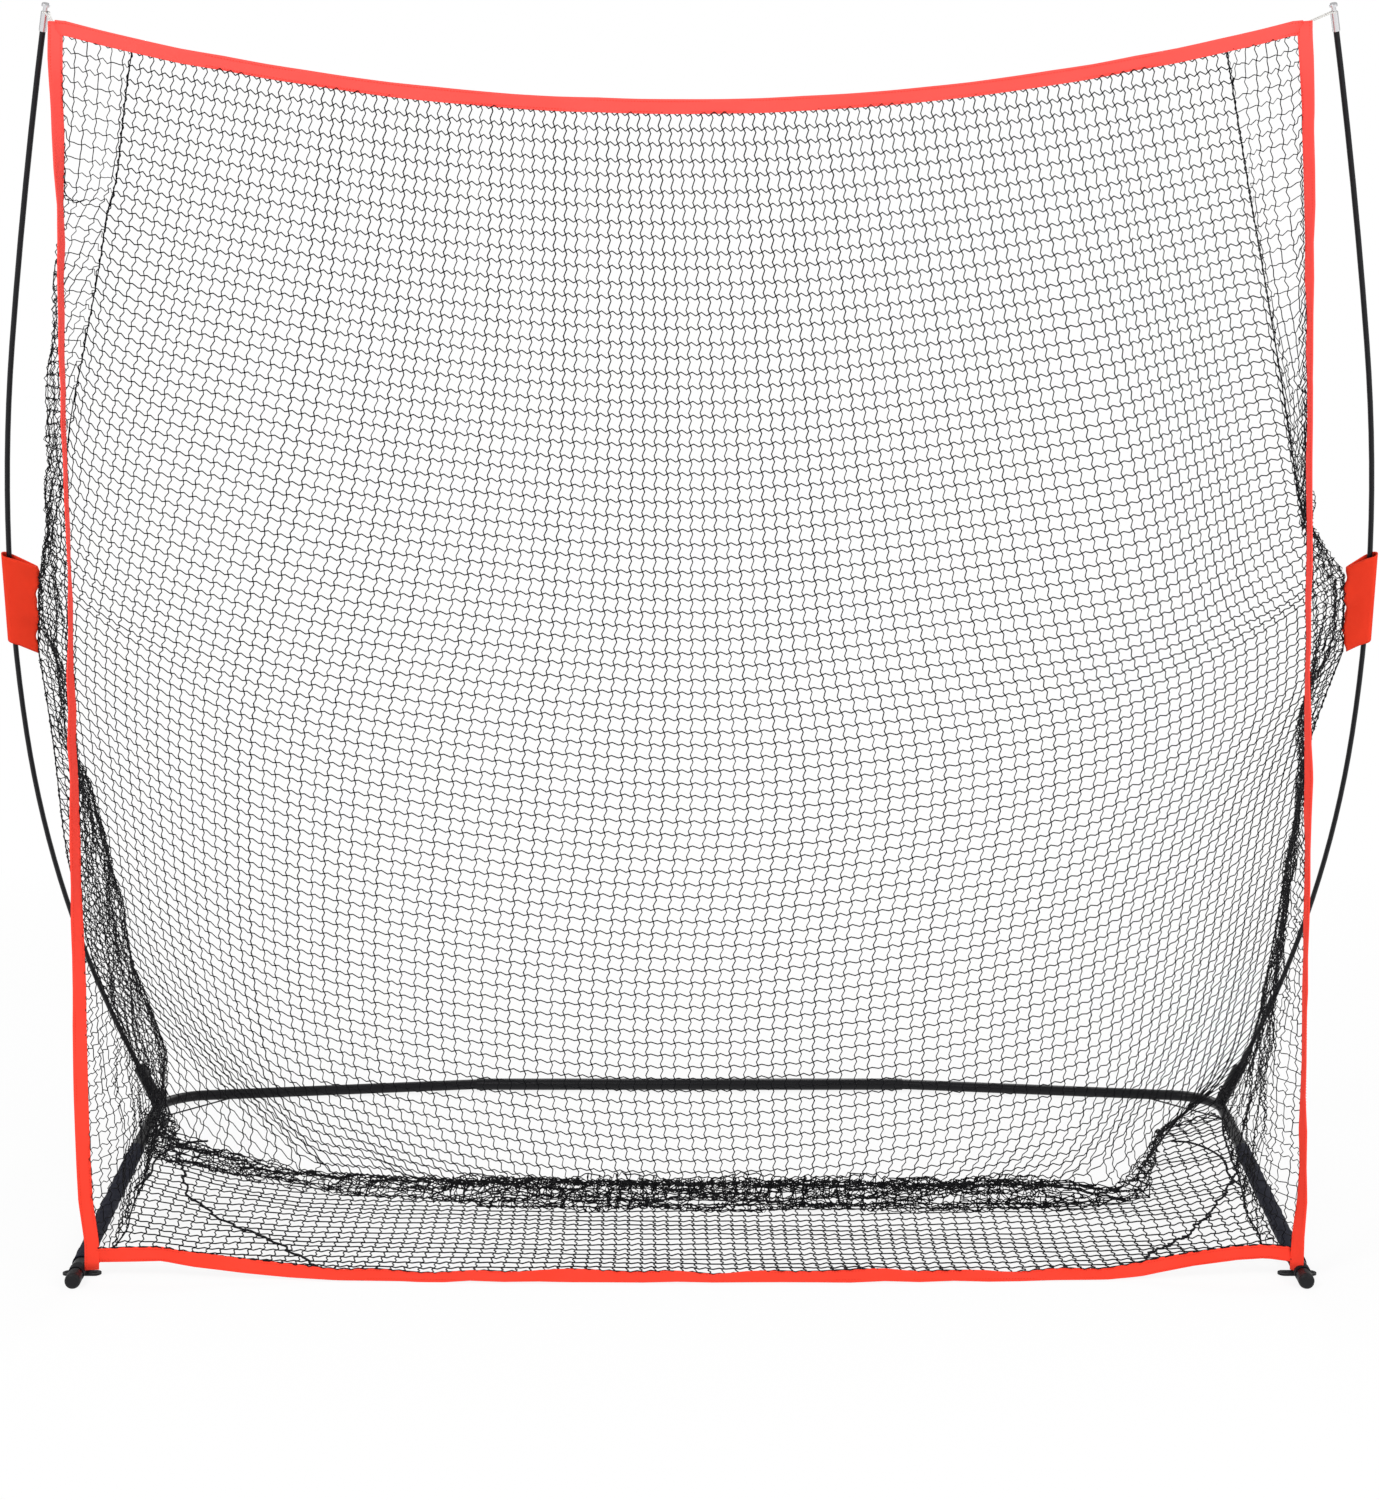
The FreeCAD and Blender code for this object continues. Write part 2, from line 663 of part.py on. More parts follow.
def build_pole(name, side):
    joint = size("joint_place")
    half_gap = size("joint_gap") / 2
    end = POLE_END + size("ferrule_overlap")
    keep(name + "_lower_pole", pole_piece(side, size("pole_start"), joint - half_gap, "sizes.pole_outer"))
    keep(name + "_upper_pole", pole_piece(side, joint + half_gap, end, "sizes.pole_outer"))
    half = size("joint_length") / 2
    keep(name + "_joint_ferrule", pole_piece(
        side, joint - half, joint + half, "sizes.pole_outer + 2 * (sizes.joint_wall + sizes.fit_gap)",
        "sizes.pole_outer + 2 * sizes.fit_gap"))


def build_tip(name, side):
    """Metal ferrule on the pole's end, its groove and its flanged cap."""
    axis = pole_axis_place(side, POLE_END)
    bore = size("pole_outer") / 2 + size("fit_gap")
    outer = bore + size("ferrule_wall")
    seat = size("ferrule_overlap") + size("fit_gap")
    top = seat + size("ferrule_head")
    outline = [(bore, 0.0), (outer, 0.0), (outer, top), (0.0, top), (0.0, seat), (bore, seat)]
    keep(name + "_tip_ferrule", revolved(outline, axis))
    neck = size("groove_outer") / 2
    disc = size("cap_disc_outer") / 2
    rise = top + size("groove_length")
    end = rise + size("cap_disc_height")
    edge = size("cap_disc_edge")
    outline = [(0.0, top), (neck, top), (neck, rise), (disc, rise), (disc, end - edge),
               (disc - edge, end), (0.0, end)]
    keep(name + "_tip_cap", revolved(outline, axis))
    return top


# Hem tape round the mouth of the net

# The lower corners lie on the foot strap, over the side tube
HEM_RISE = size("tube_outer") + size("fit_gap") + size("strap_wall") + 2 * size("soft_gap")
HEM_BOTTOM_Y = NOSE_Y + size("hem_bottom_back")
HEM_TOP_Y = pole_place(1, POLE_END).Base.y - size("hem_top_ahead")
POOL_Y = NOSE_Y + size("pool_back")
# Share of the height, and degrees that the side hem is turned back
HEM_TWIST = [(0.0, 0), (0.1, 18), (0.2, 33), (0.32, 48), (0.45, 60), (0.57, 72), (0.7, 72),
             (0.82, 66), (0.9, 52), (0.96, 25), (1.0, 0)]
# Share of the half width, from the middle of the mouth to a lower corner
BOTTOM_STEPS = [0.0, 0.3, 0.6, 0.84, 0.92, 1.0]
TOP_STEPS = 10


def band(sections):
    """A tape lofted through sections: centre, width direction, face direction."""
    half = size("hem_width") / 2
    thick = size("hem_thickness") / 2
    wires = []
    for centre, width_dir, face_dir in sections:
        corners = [centre + width_dir * a * half + face_dir * b * thick
                   for a, b in ((-1, -1), (1, -1), (1, 1), (-1, 1))]
        wires.append(Part.makePolygon(corners + corners[:1]))
    return Part.makeLoft(wires, True, True)


def back_plane():
    """Two points in the middle of the flat back panel: at the floor and at the top."""
    low = Vector(0, POOL_Y, size("pool_height") + size("net_seam"))
    high = Vector(0, HEM_TOP_Y, size("net_height"))
    return low, high


def on_back_plane(x, z):
    """Point of the back panel's middle plane at a height."""
    low, high = back_plane()
    share = (z - low.z) / (high.z - low.z)
    return Vector(x, low.y + (high.y - low.y) * share, z)


def top_hem_point(x):
    """Centre line of the top hem: an arc in the back panel's plane."""
    half = size("net_half_top") - size("hem_width")
    radius = (half ** 2 + size("hem_sag") ** 2) / (2 * size("hem_sag"))
    drop = size("hem_sag") - (radius - math.sqrt(radius ** 2 - x ** 2))
    return on_back_plane(x, size("net_height") - size("hem_width") / 2 - drop)


def top_hem_xs():
    half = size("net_half_top") - size("hem_width") - 3 * size("net_seam")
    return [half * (2 * index / TOP_STEPS - 1) for index in range(TOP_STEPS + 1)]


def build_top_hem():
    low, high = back_plane()
    up = (high - low).normalize()
    solid_part("top_hem", band([(top_hem_point(x), up, up.cross(X_AXIS)) for x in top_hem_xs()]))


def side_seam_ends(side):
    """Foot and top of the line that the side panel is sewn along."""
    low = Vector(side * (size("net_half_bottom") - size("hem_width")), HEM_BOTTOM_Y, HEM_RISE)
    high = on_back_plane(side * (size("net_half_top") - size("hem_width")),
                         size("net_height") - size("hem_width"))
    return low, high


def sleeve_corner(side):
    """Corner of the netting at the bow sleeve's flap."""
    return pole_axis_place(side, size("joint_place")).multVec(
        Vector(size("sleeve_reach") + size("net_seam") + size("net_thickness") / 2, 0, 0))


def panel_back(side):
    """Direction in the side panel, square to its seam and away from it."""
    low, high = side_seam_ends(side)
    back = sleeve_corner(side) - low
    run = (high - low).normalize()
    return (back - run * back.dot(run)).normalize()


def side_hem_section(side, share, turn_deg):
    """Centre, width direction and face direction of a side hem. Its sewn edge
    bows back in the plane of the side panel."""
    low, high = side_seam_ends(side)
    edge = low + (high - low) * share + panel_back(side) * size("side_bow") * 4 * share * (1 - share)
    turn = math.radians(turn_deg)
    inward = Vector(-side * math.cos(turn), math.sin(turn), 0)
    return edge - inward * (size("hem_width") / 2), inward, Z_AXIS.cross(inward)


def side_hem_sections(side):
    """Sections up to the top corner of the netting, and one at the tape's end."""
    low, high = side_seam_ends(side)
    end = (size("net_height") - low.z) / (high.z - low.z)
    return [side_hem_section(side, share, turn) for share, turn in HEM_TWIST + [(end, 0)]]


def side_hem_seam(side):
    """Points of the side hem's sewn edge, from the foot up."""
    return [centre + inward * (size("hem_width") / 2) for centre, inward, face in side_hem_sections(side)]


def build_side_hem(name, side):
    solid_part(name + "_hem", band(side_hem_sections(side)))


def bottom_hem_front(x):
    """Front line of the bottom hem on the floor, bowed forward."""
    half = size("net_half_bottom") - size("hem_width")
    return HEM_BOTTOM_Y - size("hem_bow") * (1 - (x / half) ** 2)


def bottom_hem_xs():
    half = size("net_half_bottom") - size("hem_width") - size("fit_gap")
    return [-half * step for step in BOTTOM_STEPS[:0:-1]] + [half * step for step in BOTTOM_STEPS]


def bottom_hem_section(x):
    """The tape lies back on the floor and stands up on the side tubes."""
    half = size("net_half_bottom") - size("hem_width")
    ease = min(1.0, (half - abs(x)) / size("hem_climb"))
    lean = math.radians(size("hem_lean") * ease)
    width_dir = Vector(0, math.sin(lean), math.cos(lean))
    face_dir = X_AXIS.cross(width_dir)
    front = Vector(x, bottom_hem_front(x), HEM_RISE * (1 - ease) ** 2)
    low = Vector(0, 0, size("hem_thickness") / 2 * math.sin(lean) + size("fit_gap"))
    return front + low + width_dir * (size("hem_width") / 2), width_dir, face_dir


def build_bottom_hem():
    solid_part("bottom_hem", band([bottom_hem_section(x) for x in bottom_hem_xs()]))


# Netting panels: flat facets with square gaps

# A gap that an edge cuts down to less than this share stays closed
LEAST_GAP = 1 / 12


def facet_normal(points):
    """Unit normal of a flat outline, by its area."""
    total = Vector()
    for here, there in zip(points, points[1:] + points[:1]):
        total += (here - points[0]).cross(there - points[0])
    return total.normalize()


def fold_inset(points, other):
    """How far a facet stays off the fold that it shares with another facet."""
    bend = facet_normal(points).getAngle(facet_normal(other))
    return size("net_thickness") / 2 * math.tan(bend / 2) + size("net_seam") / 2


def hem_inset(side):
    """How far the side panel stays off the side hem, which is folded the most at
    its ends, where the tape faces the front."""
    bend = panel_back(side).getAngle(Vector(-side, 0, 0))
    return (size("net_thickness") + size("hem_thickness")) / 2 * math.tan(bend / 2) + size("net_seam")


def edge_key(here, there):
    return frozenset((tuple(here), tuple(there)))


def inset_outline(flat, insets):
    """A counter-clockwise outline with each edge moved in by its own amount."""
    lines = []
    for here, there, inset in zip(flat, flat[1:] + flat[:1], insets):
        run = (there - here).normalize()
        lines.append((here + Vector(-run.y, run.x, 0) * inset, run))
    points = []
    for (a, run_a), (b, run_b) in zip(lines[-1:] + lines[:-1], lines):
        turn = run_a.x * run_b.y - run_a.y * run_b.x
        if abs(turn) < TINY:
            points.append(b)
        else:
            reach = ((b.x - a.x) * run_b.y - (b.y - a.y) * run_b.x) / turn
            points.append(a + run_a * reach)
    return points


def flat_face(points):
    return Part.Face(Part.makePolygon(points + points[:1]))


def panel(points, insets):
    """One flat netting facet with a grid of gaps, and the number of its gaps."""
    normal = facet_normal(points)
    across = Z_AXIS.cross(normal)
    across = across.normalize() if across.Length > TINY else X_AXIS
    up = normal.cross(across)
    origin = points[0]
    place = Placement(origin, Rotation(across, up, normal, "ZXY"))
    flat = [Vector((p - origin).dot(across), (p - origin).dot(up), 0) for p in points]
    face = flat_face(inset_outline(flat, insets))
    margin = flat_face(inset_outline(flat, [inset + size("net_strand") for inset in insets]))
    pitch = size("net_pitch")
    gap = pitch - size("net_strand")
    box = margin.BoundBox
    columns = int(math.ceil(box.XLength / pitch))
    rows = int(math.ceil(box.YLength / pitch))
    first_x = (box.XMin + box.XMax - columns * pitch + size("net_strand")) / 2
    first_y = (box.YMin + box.YMax - rows * pitch + size("net_strand")) / 2
    gaps = []
    for column in range(columns):
        for row in range(rows):
            square = Part.makePlane(gap, gap, Vector(first_x + column * pitch, first_y + row * pitch, 0))
            gaps += [piece for piece in margin.common(square).Faces
                     if piece.Area > gap * gap * LEAST_GAP]
    solid = face.cut(Part.makeCompound(gaps)).extrude(Vector(0, 0, size("net_thickness")))
    solid.translate(Vector(0, 0, -size("net_thickness") / 2))
    solid.Placement = place.multiply(solid.Placement)
    return solid, len(gaps)


def net_points(side):
    """Corners of the netting on one side."""
    low, top = side_seam_ends(side)
    sleeve = sleeve_corner(side)
    corner = corner_point(side)
    rear = Vector(corner.x - side * size("rear_tie_inward"), corner.y - size("rear_tie_ahead"),
                  size("rear_tie_height"))
    half = size("pool_half_span")
    pool = on_back_plane(side * half, pool_crest(half) + size("net_seam"))
    return top, sleeve, rear, pool


def back_bend(side):
    """Where the fold beside the back panel turns in the most."""
    return on_back_plane(side * size("bend_half_span"), size("bend_height"))


def oriented(points, inside):
    """Outline turned so that its normal points away from a place in the net."""
    outward = (points[0] - inside).dot(facet_normal(points)) > 0
    return points if outward else points[::-1]


def facet_solids(label, outlines, facets, edge_insets):
    """Build the facets of one node. Edges shared by two facets are folds, and the
    others have their own inset or just the seam's."""
    solids = []
    total = 0
    for points in outlines:
        insets = []
        for here, there in zip(points, points[1:] + points[:1]):
            inset = edge_insets.get(edge_key(here, there), size("net_seam"))
            for other in facets:
                if other is not points and here in other and there in other:
                    inset = fold_inset(points, other)
            insets.append(inset)
        solid, gaps = panel(points, insets)
        solids.append(solid)
        total += gaps
    print("%-24s gaps %d" % (label, total))
    solid_part(label, Part.makeCompound(solids) if len(solids) > 1 else solids[0])


def build_nets():
    left = net_points(-1)
    right = net_points(1)
    half = size("hem_width") / 2
    low, high = back_plane()
    up = (high - low).normalize()
    under_hem = [top_hem_point(x) - up * half for x in top_hem_xs()]
    crest = [on_back_plane(x, pool_crest(abs(x)) + size("net_seam")) for x in crest_xs()]
    under_hem[0] = left[0]
    under_hem[-1] = right[0]
    crest[0] = left[3]
    crest[-1] = right[3]
    back = crest + [back_bend(1)] + under_hem[::-1] + [back_bend(-1)]
    outlines = {"back_net": [oriented(back, high - Y_AXIS * size("net_height"))]}
    edge_insets = {}
    for name, side in SIDES.items():
        top, sleeve, rear, pool = left if side < 0 else right
        seam = side_hem_seam(side)[:-2] + [top]
        for here, there in zip(seam, seam[1:]):
            edge_insets[edge_key(here, there)] = hem_inset(side)
        edge_insets[edge_key(seam[0], rear)] = size("net_lift")
        inside = (seam[0] + top + sleeve + rear + pool) / 5
        bend = back_bend(side)
        outlines[name + "_corner_net"] = [oriented([bend, sleeve, top], inside),
                                          oriented([pool, sleeve, bend], inside),
                                          oriented([pool, rear, sleeve], inside)]
        outlines[name + "_side_net"] = [oriented(seam + [sleeve], inside),
                                        oriented([seam[0], sleeve, rear], inside)]
    facets = [outline for group in outlines.values() for outline in group]
    for label, group in outlines.items():
        facet_solids(label, group, facets, edge_insets)


# Netting on the floor: spare netting pooled behind the floor panel

# Along the right half of the pooled netting: across, as a share of pool_half_span,
# back from its middle, as a share of pool_depth, and its shares of depth and height
POOL_STEPS = [(0.0, 0.0, 1.0, 1.0), (0.525, 0.0, 1.0, 1.0), (0.8, 0.013, 0.83, 0.85),
              (0.9875, 0.093, 0.54, 0.64), (1.1, 0.467, 0.36, 0.48), (1.16875, 1.067, 0.28, 0.4),
              (1.20625, 1.733, 0.24, 0.36), (1.225, 2.233, 0.2, 0.32)]
# Steps on which the back panel rests
CREST_STEPS = POOL_STEPS[1:3]


def crest_xs():
    """Where the back panel's lower edge follows the pooled netting."""
    half = size("pool_half_span")
    inner = [half * step[0] for step in CREST_STEPS]
    return [-half] + [-x for x in inner[::-1]] + [0.0] + inner + [half]


def pool_crest(x):
    """Height of the pooled netting under the back panel."""
    across = x / size("pool_half_span")
    for (x_a, y_a, deep_a, high_a), (x_b, y_b, deep_b, high_b) in zip(POOL_STEPS, POOL_STEPS[1:]):
        if x_a <= across <= x_b:
            share = (across - x_a) / (x_b - x_a)
            return size("pool_height") * (high_a + (high_b - high_a) * share)
    return size("pool_height") * POOL_STEPS[-1][3]


def pool_centre(side, across, back):
    """Point on the floor in the middle of the pooled netting."""
    return Vector(side * across * size("pool_half_span"), POOL_Y + back * size("pool_depth"),
                  size("fit_gap"))


def pool_sections(side):
    """Centre, direction to the floor panel, half depth and height."""
    centres = [pool_centre(side, across, back) for across, back, deep, high in POOL_STEPS]
    befores = [pool_centre(-side, *POOL_STEPS[1][:2])] + centres[:-1]
    afters = centres[1:] + [centres[-1] * 2 - centres[-2]]
    sections = []
    for before, centre, after, step in zip(befores, centres, afters, POOL_STEPS):
        run = (after - before).normalize()
        front = Vector(run.y, -run.x, 0) * side
        sections.append((centre, front, size("pool_depth") / 2 * step[2],
                         size("pool_height") * step[3]))
    return sections


def pool_chain():
    """Sections from the left end to the right end."""
    return pool_sections(-1)[:0:-1] + pool_sections(1)


def build_pool():
    """Flat-bottomed heap, arched over."""
    wires = []
    for centre, front, half, height in pool_chain():
        ends = (centre - front * half, centre + front * half)
        arch = Part.Arc(ends[0], centre + Z_AXIS * (height - size("fit_gap")), ends[1]).toShape()
        wires.append(Part.Wire([Part.makeLine(ends[1], ends[0]), arch]))
    solid_part("pooled_net", Part.makeLoft(wires, True, True))


# Border cord on the floor, from its far end: share of border_inward from the side
# tube's axis, and share of border_reach behind the foot's nose
BORDER_STEPS = [(1.0, 1.0), (0.737, 0.988), (0.523, 0.945), (0.373, 0.883), (0.323, 0.816),
                (0.356, 0.754), (0.316, 0.692), (0.212, 0.635)]


def tube_axis_x(y):
    """The right side tube's axis, across, at a place from front to back."""
    nose = nose_point(1)
    return nose.x + (y - nose.y) * math.tan(math.radians(size("splay_angle")))


def tube_side_x(y):
    """Inner limit of the floor panel beside the tube sleeve."""
    return tube_axis_x(y) - TUBE_RADIUS - size("wrap_wall") - 2 * size("soft_gap")


def border_route():
    """Plan points of the right border cord."""
    route = []
    for inward, back in BORDER_STEPS:
        y = NOSE_Y + back * size("border_reach")
        route.append((tube_axis_x(y) - inward * size("border_inward"), y))
    return route


def build_floor_net():
    """Flat panel from the bottom hem to the pooled netting."""
    lean = math.radians(size("hem_lean"))
    tuck = (size("net_thickness") + size("net_seam")) * math.tan(lean) + size("hem_thickness")
    # The front corners stay clear of the inner stake tabs
    tab = behind_nose(1, size("tab_setback"))
    corner_x = tab.x - size("tab_inner_reach") - size("net_seam")
    tab_rear = tab.y + size("tab_width") / 2 + size("net_seam")
    last_x = corner_x - 2 * size("net_strand")
    xs = [x for x in bottom_hem_xs() if 0 <= x < last_x] + [corner_x]
    front = [Vector(x, bottom_hem_front(x) + tuck, 0) for x in xs]
    route = border_route()
    last_y = route[-1][1]
    side_run = [Vector(corner_x, tab_rear, 0), Vector(tube_side_x(tab_rear), tab_rear, 0),
                Vector(tube_side_x(last_y), last_y, 0)]
    cord = size("border_outer")
    rear = [Vector(x + cord, y + cord, 0) for x, y in route[-2::-1]]
    pool = [centre + face * (half + size("net_seam"))
            for centre, face, half, height in pool_sections(1)[::-1]]
    pool = [Vector(p.x, p.y, 0) for p in pool]
    right = front[1:] + side_run + rear + pool[:-1]
    left = [Vector(-p.x, p.y, 0) for p in right[::-1]]
    outline = front[:1] + right + pool[-1:] + left
    height = size("fit_gap") + size("net_thickness") / 2
    points = [Vector(p.x, p.y, height) for p in outline]
    solid, gaps = panel(points, [0.0] * len(points))
    print("%-24s gaps %d" % ("floor_net", gaps))
    solid_part("floor_net", solid)


# Share of a route's leg that its bend takes up
BEND_SHARE = 0.45


def route_runs(points):
    """Straight runs and tangent arcs along a plan route, and the arcs' radii."""
    runs = []
    radii = []
    cut_before = 0.0
    for index in range(1, len(points)):
        leg = points[index] - points[index - 1]
        cut_after = 0.0
        if index + 1 < len(points):
            ahead = points[index + 1] - points[index]
            turn = math.atan2(leg.x * ahead.y - leg.y * ahead.x, leg.dot(ahead))
            cut_after = BEND_SHARE * min(leg.Length, ahead.Length)
            radius = cut_after / math.tan(abs(turn) / 2)
        runs.append((leg.Length - cut_before - cut_after, 0))
        if cut_after:
            runs.append((abs(turn) * radius, math.copysign(radius, turn)))
            radii.append(radius)
        cut_before = cut_after
    return runs, radii


def build_border_cord(name, side):
    """Cord that lies on the floor panel's outer edge."""
    height = size("fit_gap") + size("net_thickness") + size("net_seam") + size("border_outer") / 2
    points = [Vector(side * x, y, height) for x, y in border_route()]
    runs, radii = route_runs(points)
    print("%-24s least radius %.0f" % (name + "_border_cord", min(radii)))
    start = (points[1] - points[0]).normalize()
    place = frame_at(points[0], start, Z_AXIS)
    keep(name + "_border_cord", bent_rod(runs, "sizes.border_outer", None, place))


# Sleeves, straps, loops and ties that hold the net to the frame


def build_bow_sleeve(name, side):
    """Drop-shaped sleeve round the pole joint, its flap to the net."""
    hole = size("pole_outer") / 2 + size("fit_gap") + size("joint_wall") + size("soft_gap")
    outer = hole + size("sleeve_wall")
    tail = size("sleeve_tail") / 2
    reach = size("sleeve_reach")
    # The flap's sides touch the round part on a tangent
    slope = math.asin((outer - tail) / reach)
    touch = Vector(outer * math.sin(slope), outer * math.cos(slope), 0)
    mirror = Vector(touch.x, -touch.y, 0)
    body = doc.addObject("PartDesign::Body", "drop")
    sketch = new_sketch(body, "XY_Plane", "drop_outline")
    sketch.addGeometry(Part.Arc(touch, Vector(-outer, 0, 0), mirror), False)
    sketch.addGeometry(Part.LineSegment(mirror, Vector(reach, -tail, 0)), False)
    sketch.addGeometry(Part.LineSegment(Vector(reach, -tail, 0), Vector(reach, tail, 0)), False)
    sketch.addGeometry(Part.LineSegment(Vector(reach, tail, 0), touch), False)
    circle_in(sketch, "sizes.pole_outer + 2 * (sizes.fit_gap + sizes.joint_wall + sizes.soft_gap)")
    pad = body.newObject("PartDesign::Pad", "pad")
    pad.Profile = sketch
    pad.Midplane = True
    pad.setExpression("Length", "sizes.sleeve_length")
    body.Tip = pad
    body.Placement = pole_axis_place(side, size("joint_place"))
    keep(name + "_bow_sleeve", body)


def wrap_round_tube(label, side, setback, length_expr, wall_expr):
    """Fabric round the side tube, open where the tube meets the floor."""
    inner = "sizes.tube_outer / 2 + sizes.soft_gap"
    ring = tube(inner + " + " + wall_expr, inner, length_expr,
                along(behind_nose(side, setback), side_dir(side) * -1, Z_AXIS))
    keep(label, cut(ring, floor_box(size("floor_gap"))))


def ring_and_stem(label, place, ring_radius, cord_expr, target):
    """A cord ring round an axis, and its straight end out to a target."""
    cord = doc.addObject("Part::Torus", "ring")
    cord.Radius1 = ring_radius
    cord.setExpression("Radius2", cord_expr)
    cord.Placement = place
    axis = place.Rotation.multVec(Z_AXIS)
    toward = target - place.Base
    toward = (toward - axis * toward.dot(axis)).normalize()
    start = place.Base + toward * ring_radius
    reach = target - start
    stem = cylinder(cord_expr, reach.Length, along(start, reach.normalize(), Z_AXIS))
    keep(label, fuse(cord, stem))


def build_holders(name, side, ferrule_top):
    build_bow_sleeve(name, side)
    wrap_round_tube(name + "_tube_sleeve", side, size("wrap_start"),
                    "sizes.wrap_length", "sizes.wrap_wall")
    wrap_round_tube(name + "_foot_strap", side, size("strap_setback"),
                    "sizes.strap_width", "sizes.strap_wall")
    groove = pole_axis_place(side, POLE_END).multiply(
        Placement(Vector(0, 0, ferrule_top + size("groove_length") / 2), Rotation()))
    corner, inward, face = side_hem_sections(side)[-1]
    top = corner + Z_AXIS * size("loop_outer")
    radius = (size("groove_outer") + size("loop_outer")) / 2 + size("soft_gap")
    ring_and_stem(name + "_corner_loop", groove, radius, "sizes.loop_outer / 2", top)
    top, sleeve, rear, pool = net_points(side)
    radius = (size("socket_outer") + size("tie_outer")) / 2 + size("soft_gap")
    ring_and_stem(name + "_rear_tie", pole_axis_place(side, size("tie_place")), radius,
                  "sizes.tie_outer / 2", rear)


def build_everything():
    build_cross_tube()
    for name, side in SIDES.items():
        build_corner_tube(name, side)
        build_side_tube(name, side)
        build_foot_cap(name, side)
        build_stake_tabs(name, side)
        build_brace(name, side)
        build_socket(name, side)
        build_bush(name, side)
        build_pole(name, side)
        build_holders(name, side, build_tip(name, side))
        build_side_hem(name, side)
        build_border_cord(name, side)
    for name in SITES:
        build_spring(name, build_button(name))
    build_top_hem()
    build_bottom_hem()
    build_pool()
    build_floor_net()
    build_nets()


def export_all():
    doc.recompute()
    for thing in doc.Objects:
        if "Invalid" in thing.State or "Error" in thing.State:
            raise RuntimeError("%s failed: %s" % (thing.Label, thing.State))
    os.makedirs("parts", exist_ok=True)
    for label, thing in parts.items():
        shape = thing.Shape
        if shape.isNull() or not shape.isValid():
            raise RuntimeError("%s has no valid shape" % label)
        shape.exportStep("parts/%s.step" % label)
        print("%-24s solids %d volume %.0f mm3" % (label, len(shape.Solids), shape.Volume))


build_everything()
export_all()
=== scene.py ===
# %% [markdown]
# # A practice net on a bow frame
# A U of black tube lies on the floor, two bent rods rise from its rear corners, and
# a large black net hangs in a red hem between the rods' tips and the front feet.
# The rigid pieces come from the CAD and only get better finishes here. Everything
# soft, which is the net, its hem, its sleeves and its cords, is made in this script.

# %% The CAD frame and its box
import math

import bpy
import numpy as np
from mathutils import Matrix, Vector


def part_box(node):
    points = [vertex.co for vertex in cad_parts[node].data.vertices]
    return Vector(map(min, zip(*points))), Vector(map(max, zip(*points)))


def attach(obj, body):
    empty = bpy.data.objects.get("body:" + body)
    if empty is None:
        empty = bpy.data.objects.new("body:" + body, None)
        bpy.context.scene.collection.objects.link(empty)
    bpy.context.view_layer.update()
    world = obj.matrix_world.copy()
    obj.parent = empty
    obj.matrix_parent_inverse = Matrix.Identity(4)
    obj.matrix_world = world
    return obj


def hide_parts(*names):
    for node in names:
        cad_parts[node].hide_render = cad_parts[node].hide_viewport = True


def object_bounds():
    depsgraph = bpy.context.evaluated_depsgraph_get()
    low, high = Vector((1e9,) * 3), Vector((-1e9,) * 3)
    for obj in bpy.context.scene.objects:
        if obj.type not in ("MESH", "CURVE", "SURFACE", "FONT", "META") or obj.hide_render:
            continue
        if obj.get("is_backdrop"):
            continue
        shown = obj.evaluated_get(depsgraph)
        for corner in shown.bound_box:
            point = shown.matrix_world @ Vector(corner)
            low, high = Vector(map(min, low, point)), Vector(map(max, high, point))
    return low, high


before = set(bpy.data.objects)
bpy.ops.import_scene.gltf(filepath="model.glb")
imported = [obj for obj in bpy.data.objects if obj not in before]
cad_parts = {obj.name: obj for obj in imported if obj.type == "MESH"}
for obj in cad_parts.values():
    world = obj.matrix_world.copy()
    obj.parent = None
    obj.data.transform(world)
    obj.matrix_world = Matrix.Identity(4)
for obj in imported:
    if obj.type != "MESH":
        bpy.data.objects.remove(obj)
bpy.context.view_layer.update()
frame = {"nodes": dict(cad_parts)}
nodes = frame["nodes"]
ROOT = "frame_and_net"


def linked(name, data):
    """An object of the scene, made from its data."""
    made = bpy.data.objects.new(name, data)
    bpy.context.scene.collection.objects.link(made)
    return made


# %% [markdown]
# ## Camera
# The photograph was taken from the open front, with the eye a little above the pole
# sleeves. A lens with the measured focal length, looking down a few degrees, and a
# small shift give the same view.

# %% Camera
PHOTO_WIDE, PHOTO_HIGH = 1379, 1500
FOCAL_PX = 2364.0
HORIZON_PX = 580.0
EYE = (0.0, -4.6235, 1.474)
LOOK_DOWN = math.radians(3.55)

camera_data = bpy.data.cameras.new("camera")
camera_data.sensor_width = 36.0
camera_data.lens = FOCAL_PX / PHOTO_HIGH * camera_data.sensor_width
camera_data.shift_y = (HORIZON_PX - PHOTO_HIGH / 2) / PHOTO_HIGH
camera_data.clip_end = 100.0
camera = linked("camera", camera_data)
camera.location = EYE
camera.rotation_euler = (math.pi / 2 - LOOK_DOWN, 0.0, 0.0)
bpy.context.scene.camera = camera
print("lens", round(camera_data.lens, 2), "mm, shift", round(camera_data.shift_y, 4))

# %% [markdown]
# ## Shader maths in plain Python
# A finish is a node graph. Adding each Math node by hand hides the sum that it
# stands for, so a small class wraps a socket and lets Python's own operators add
# the nodes. One more method makes any other node from its type, its settings and
# what goes into its sockets.


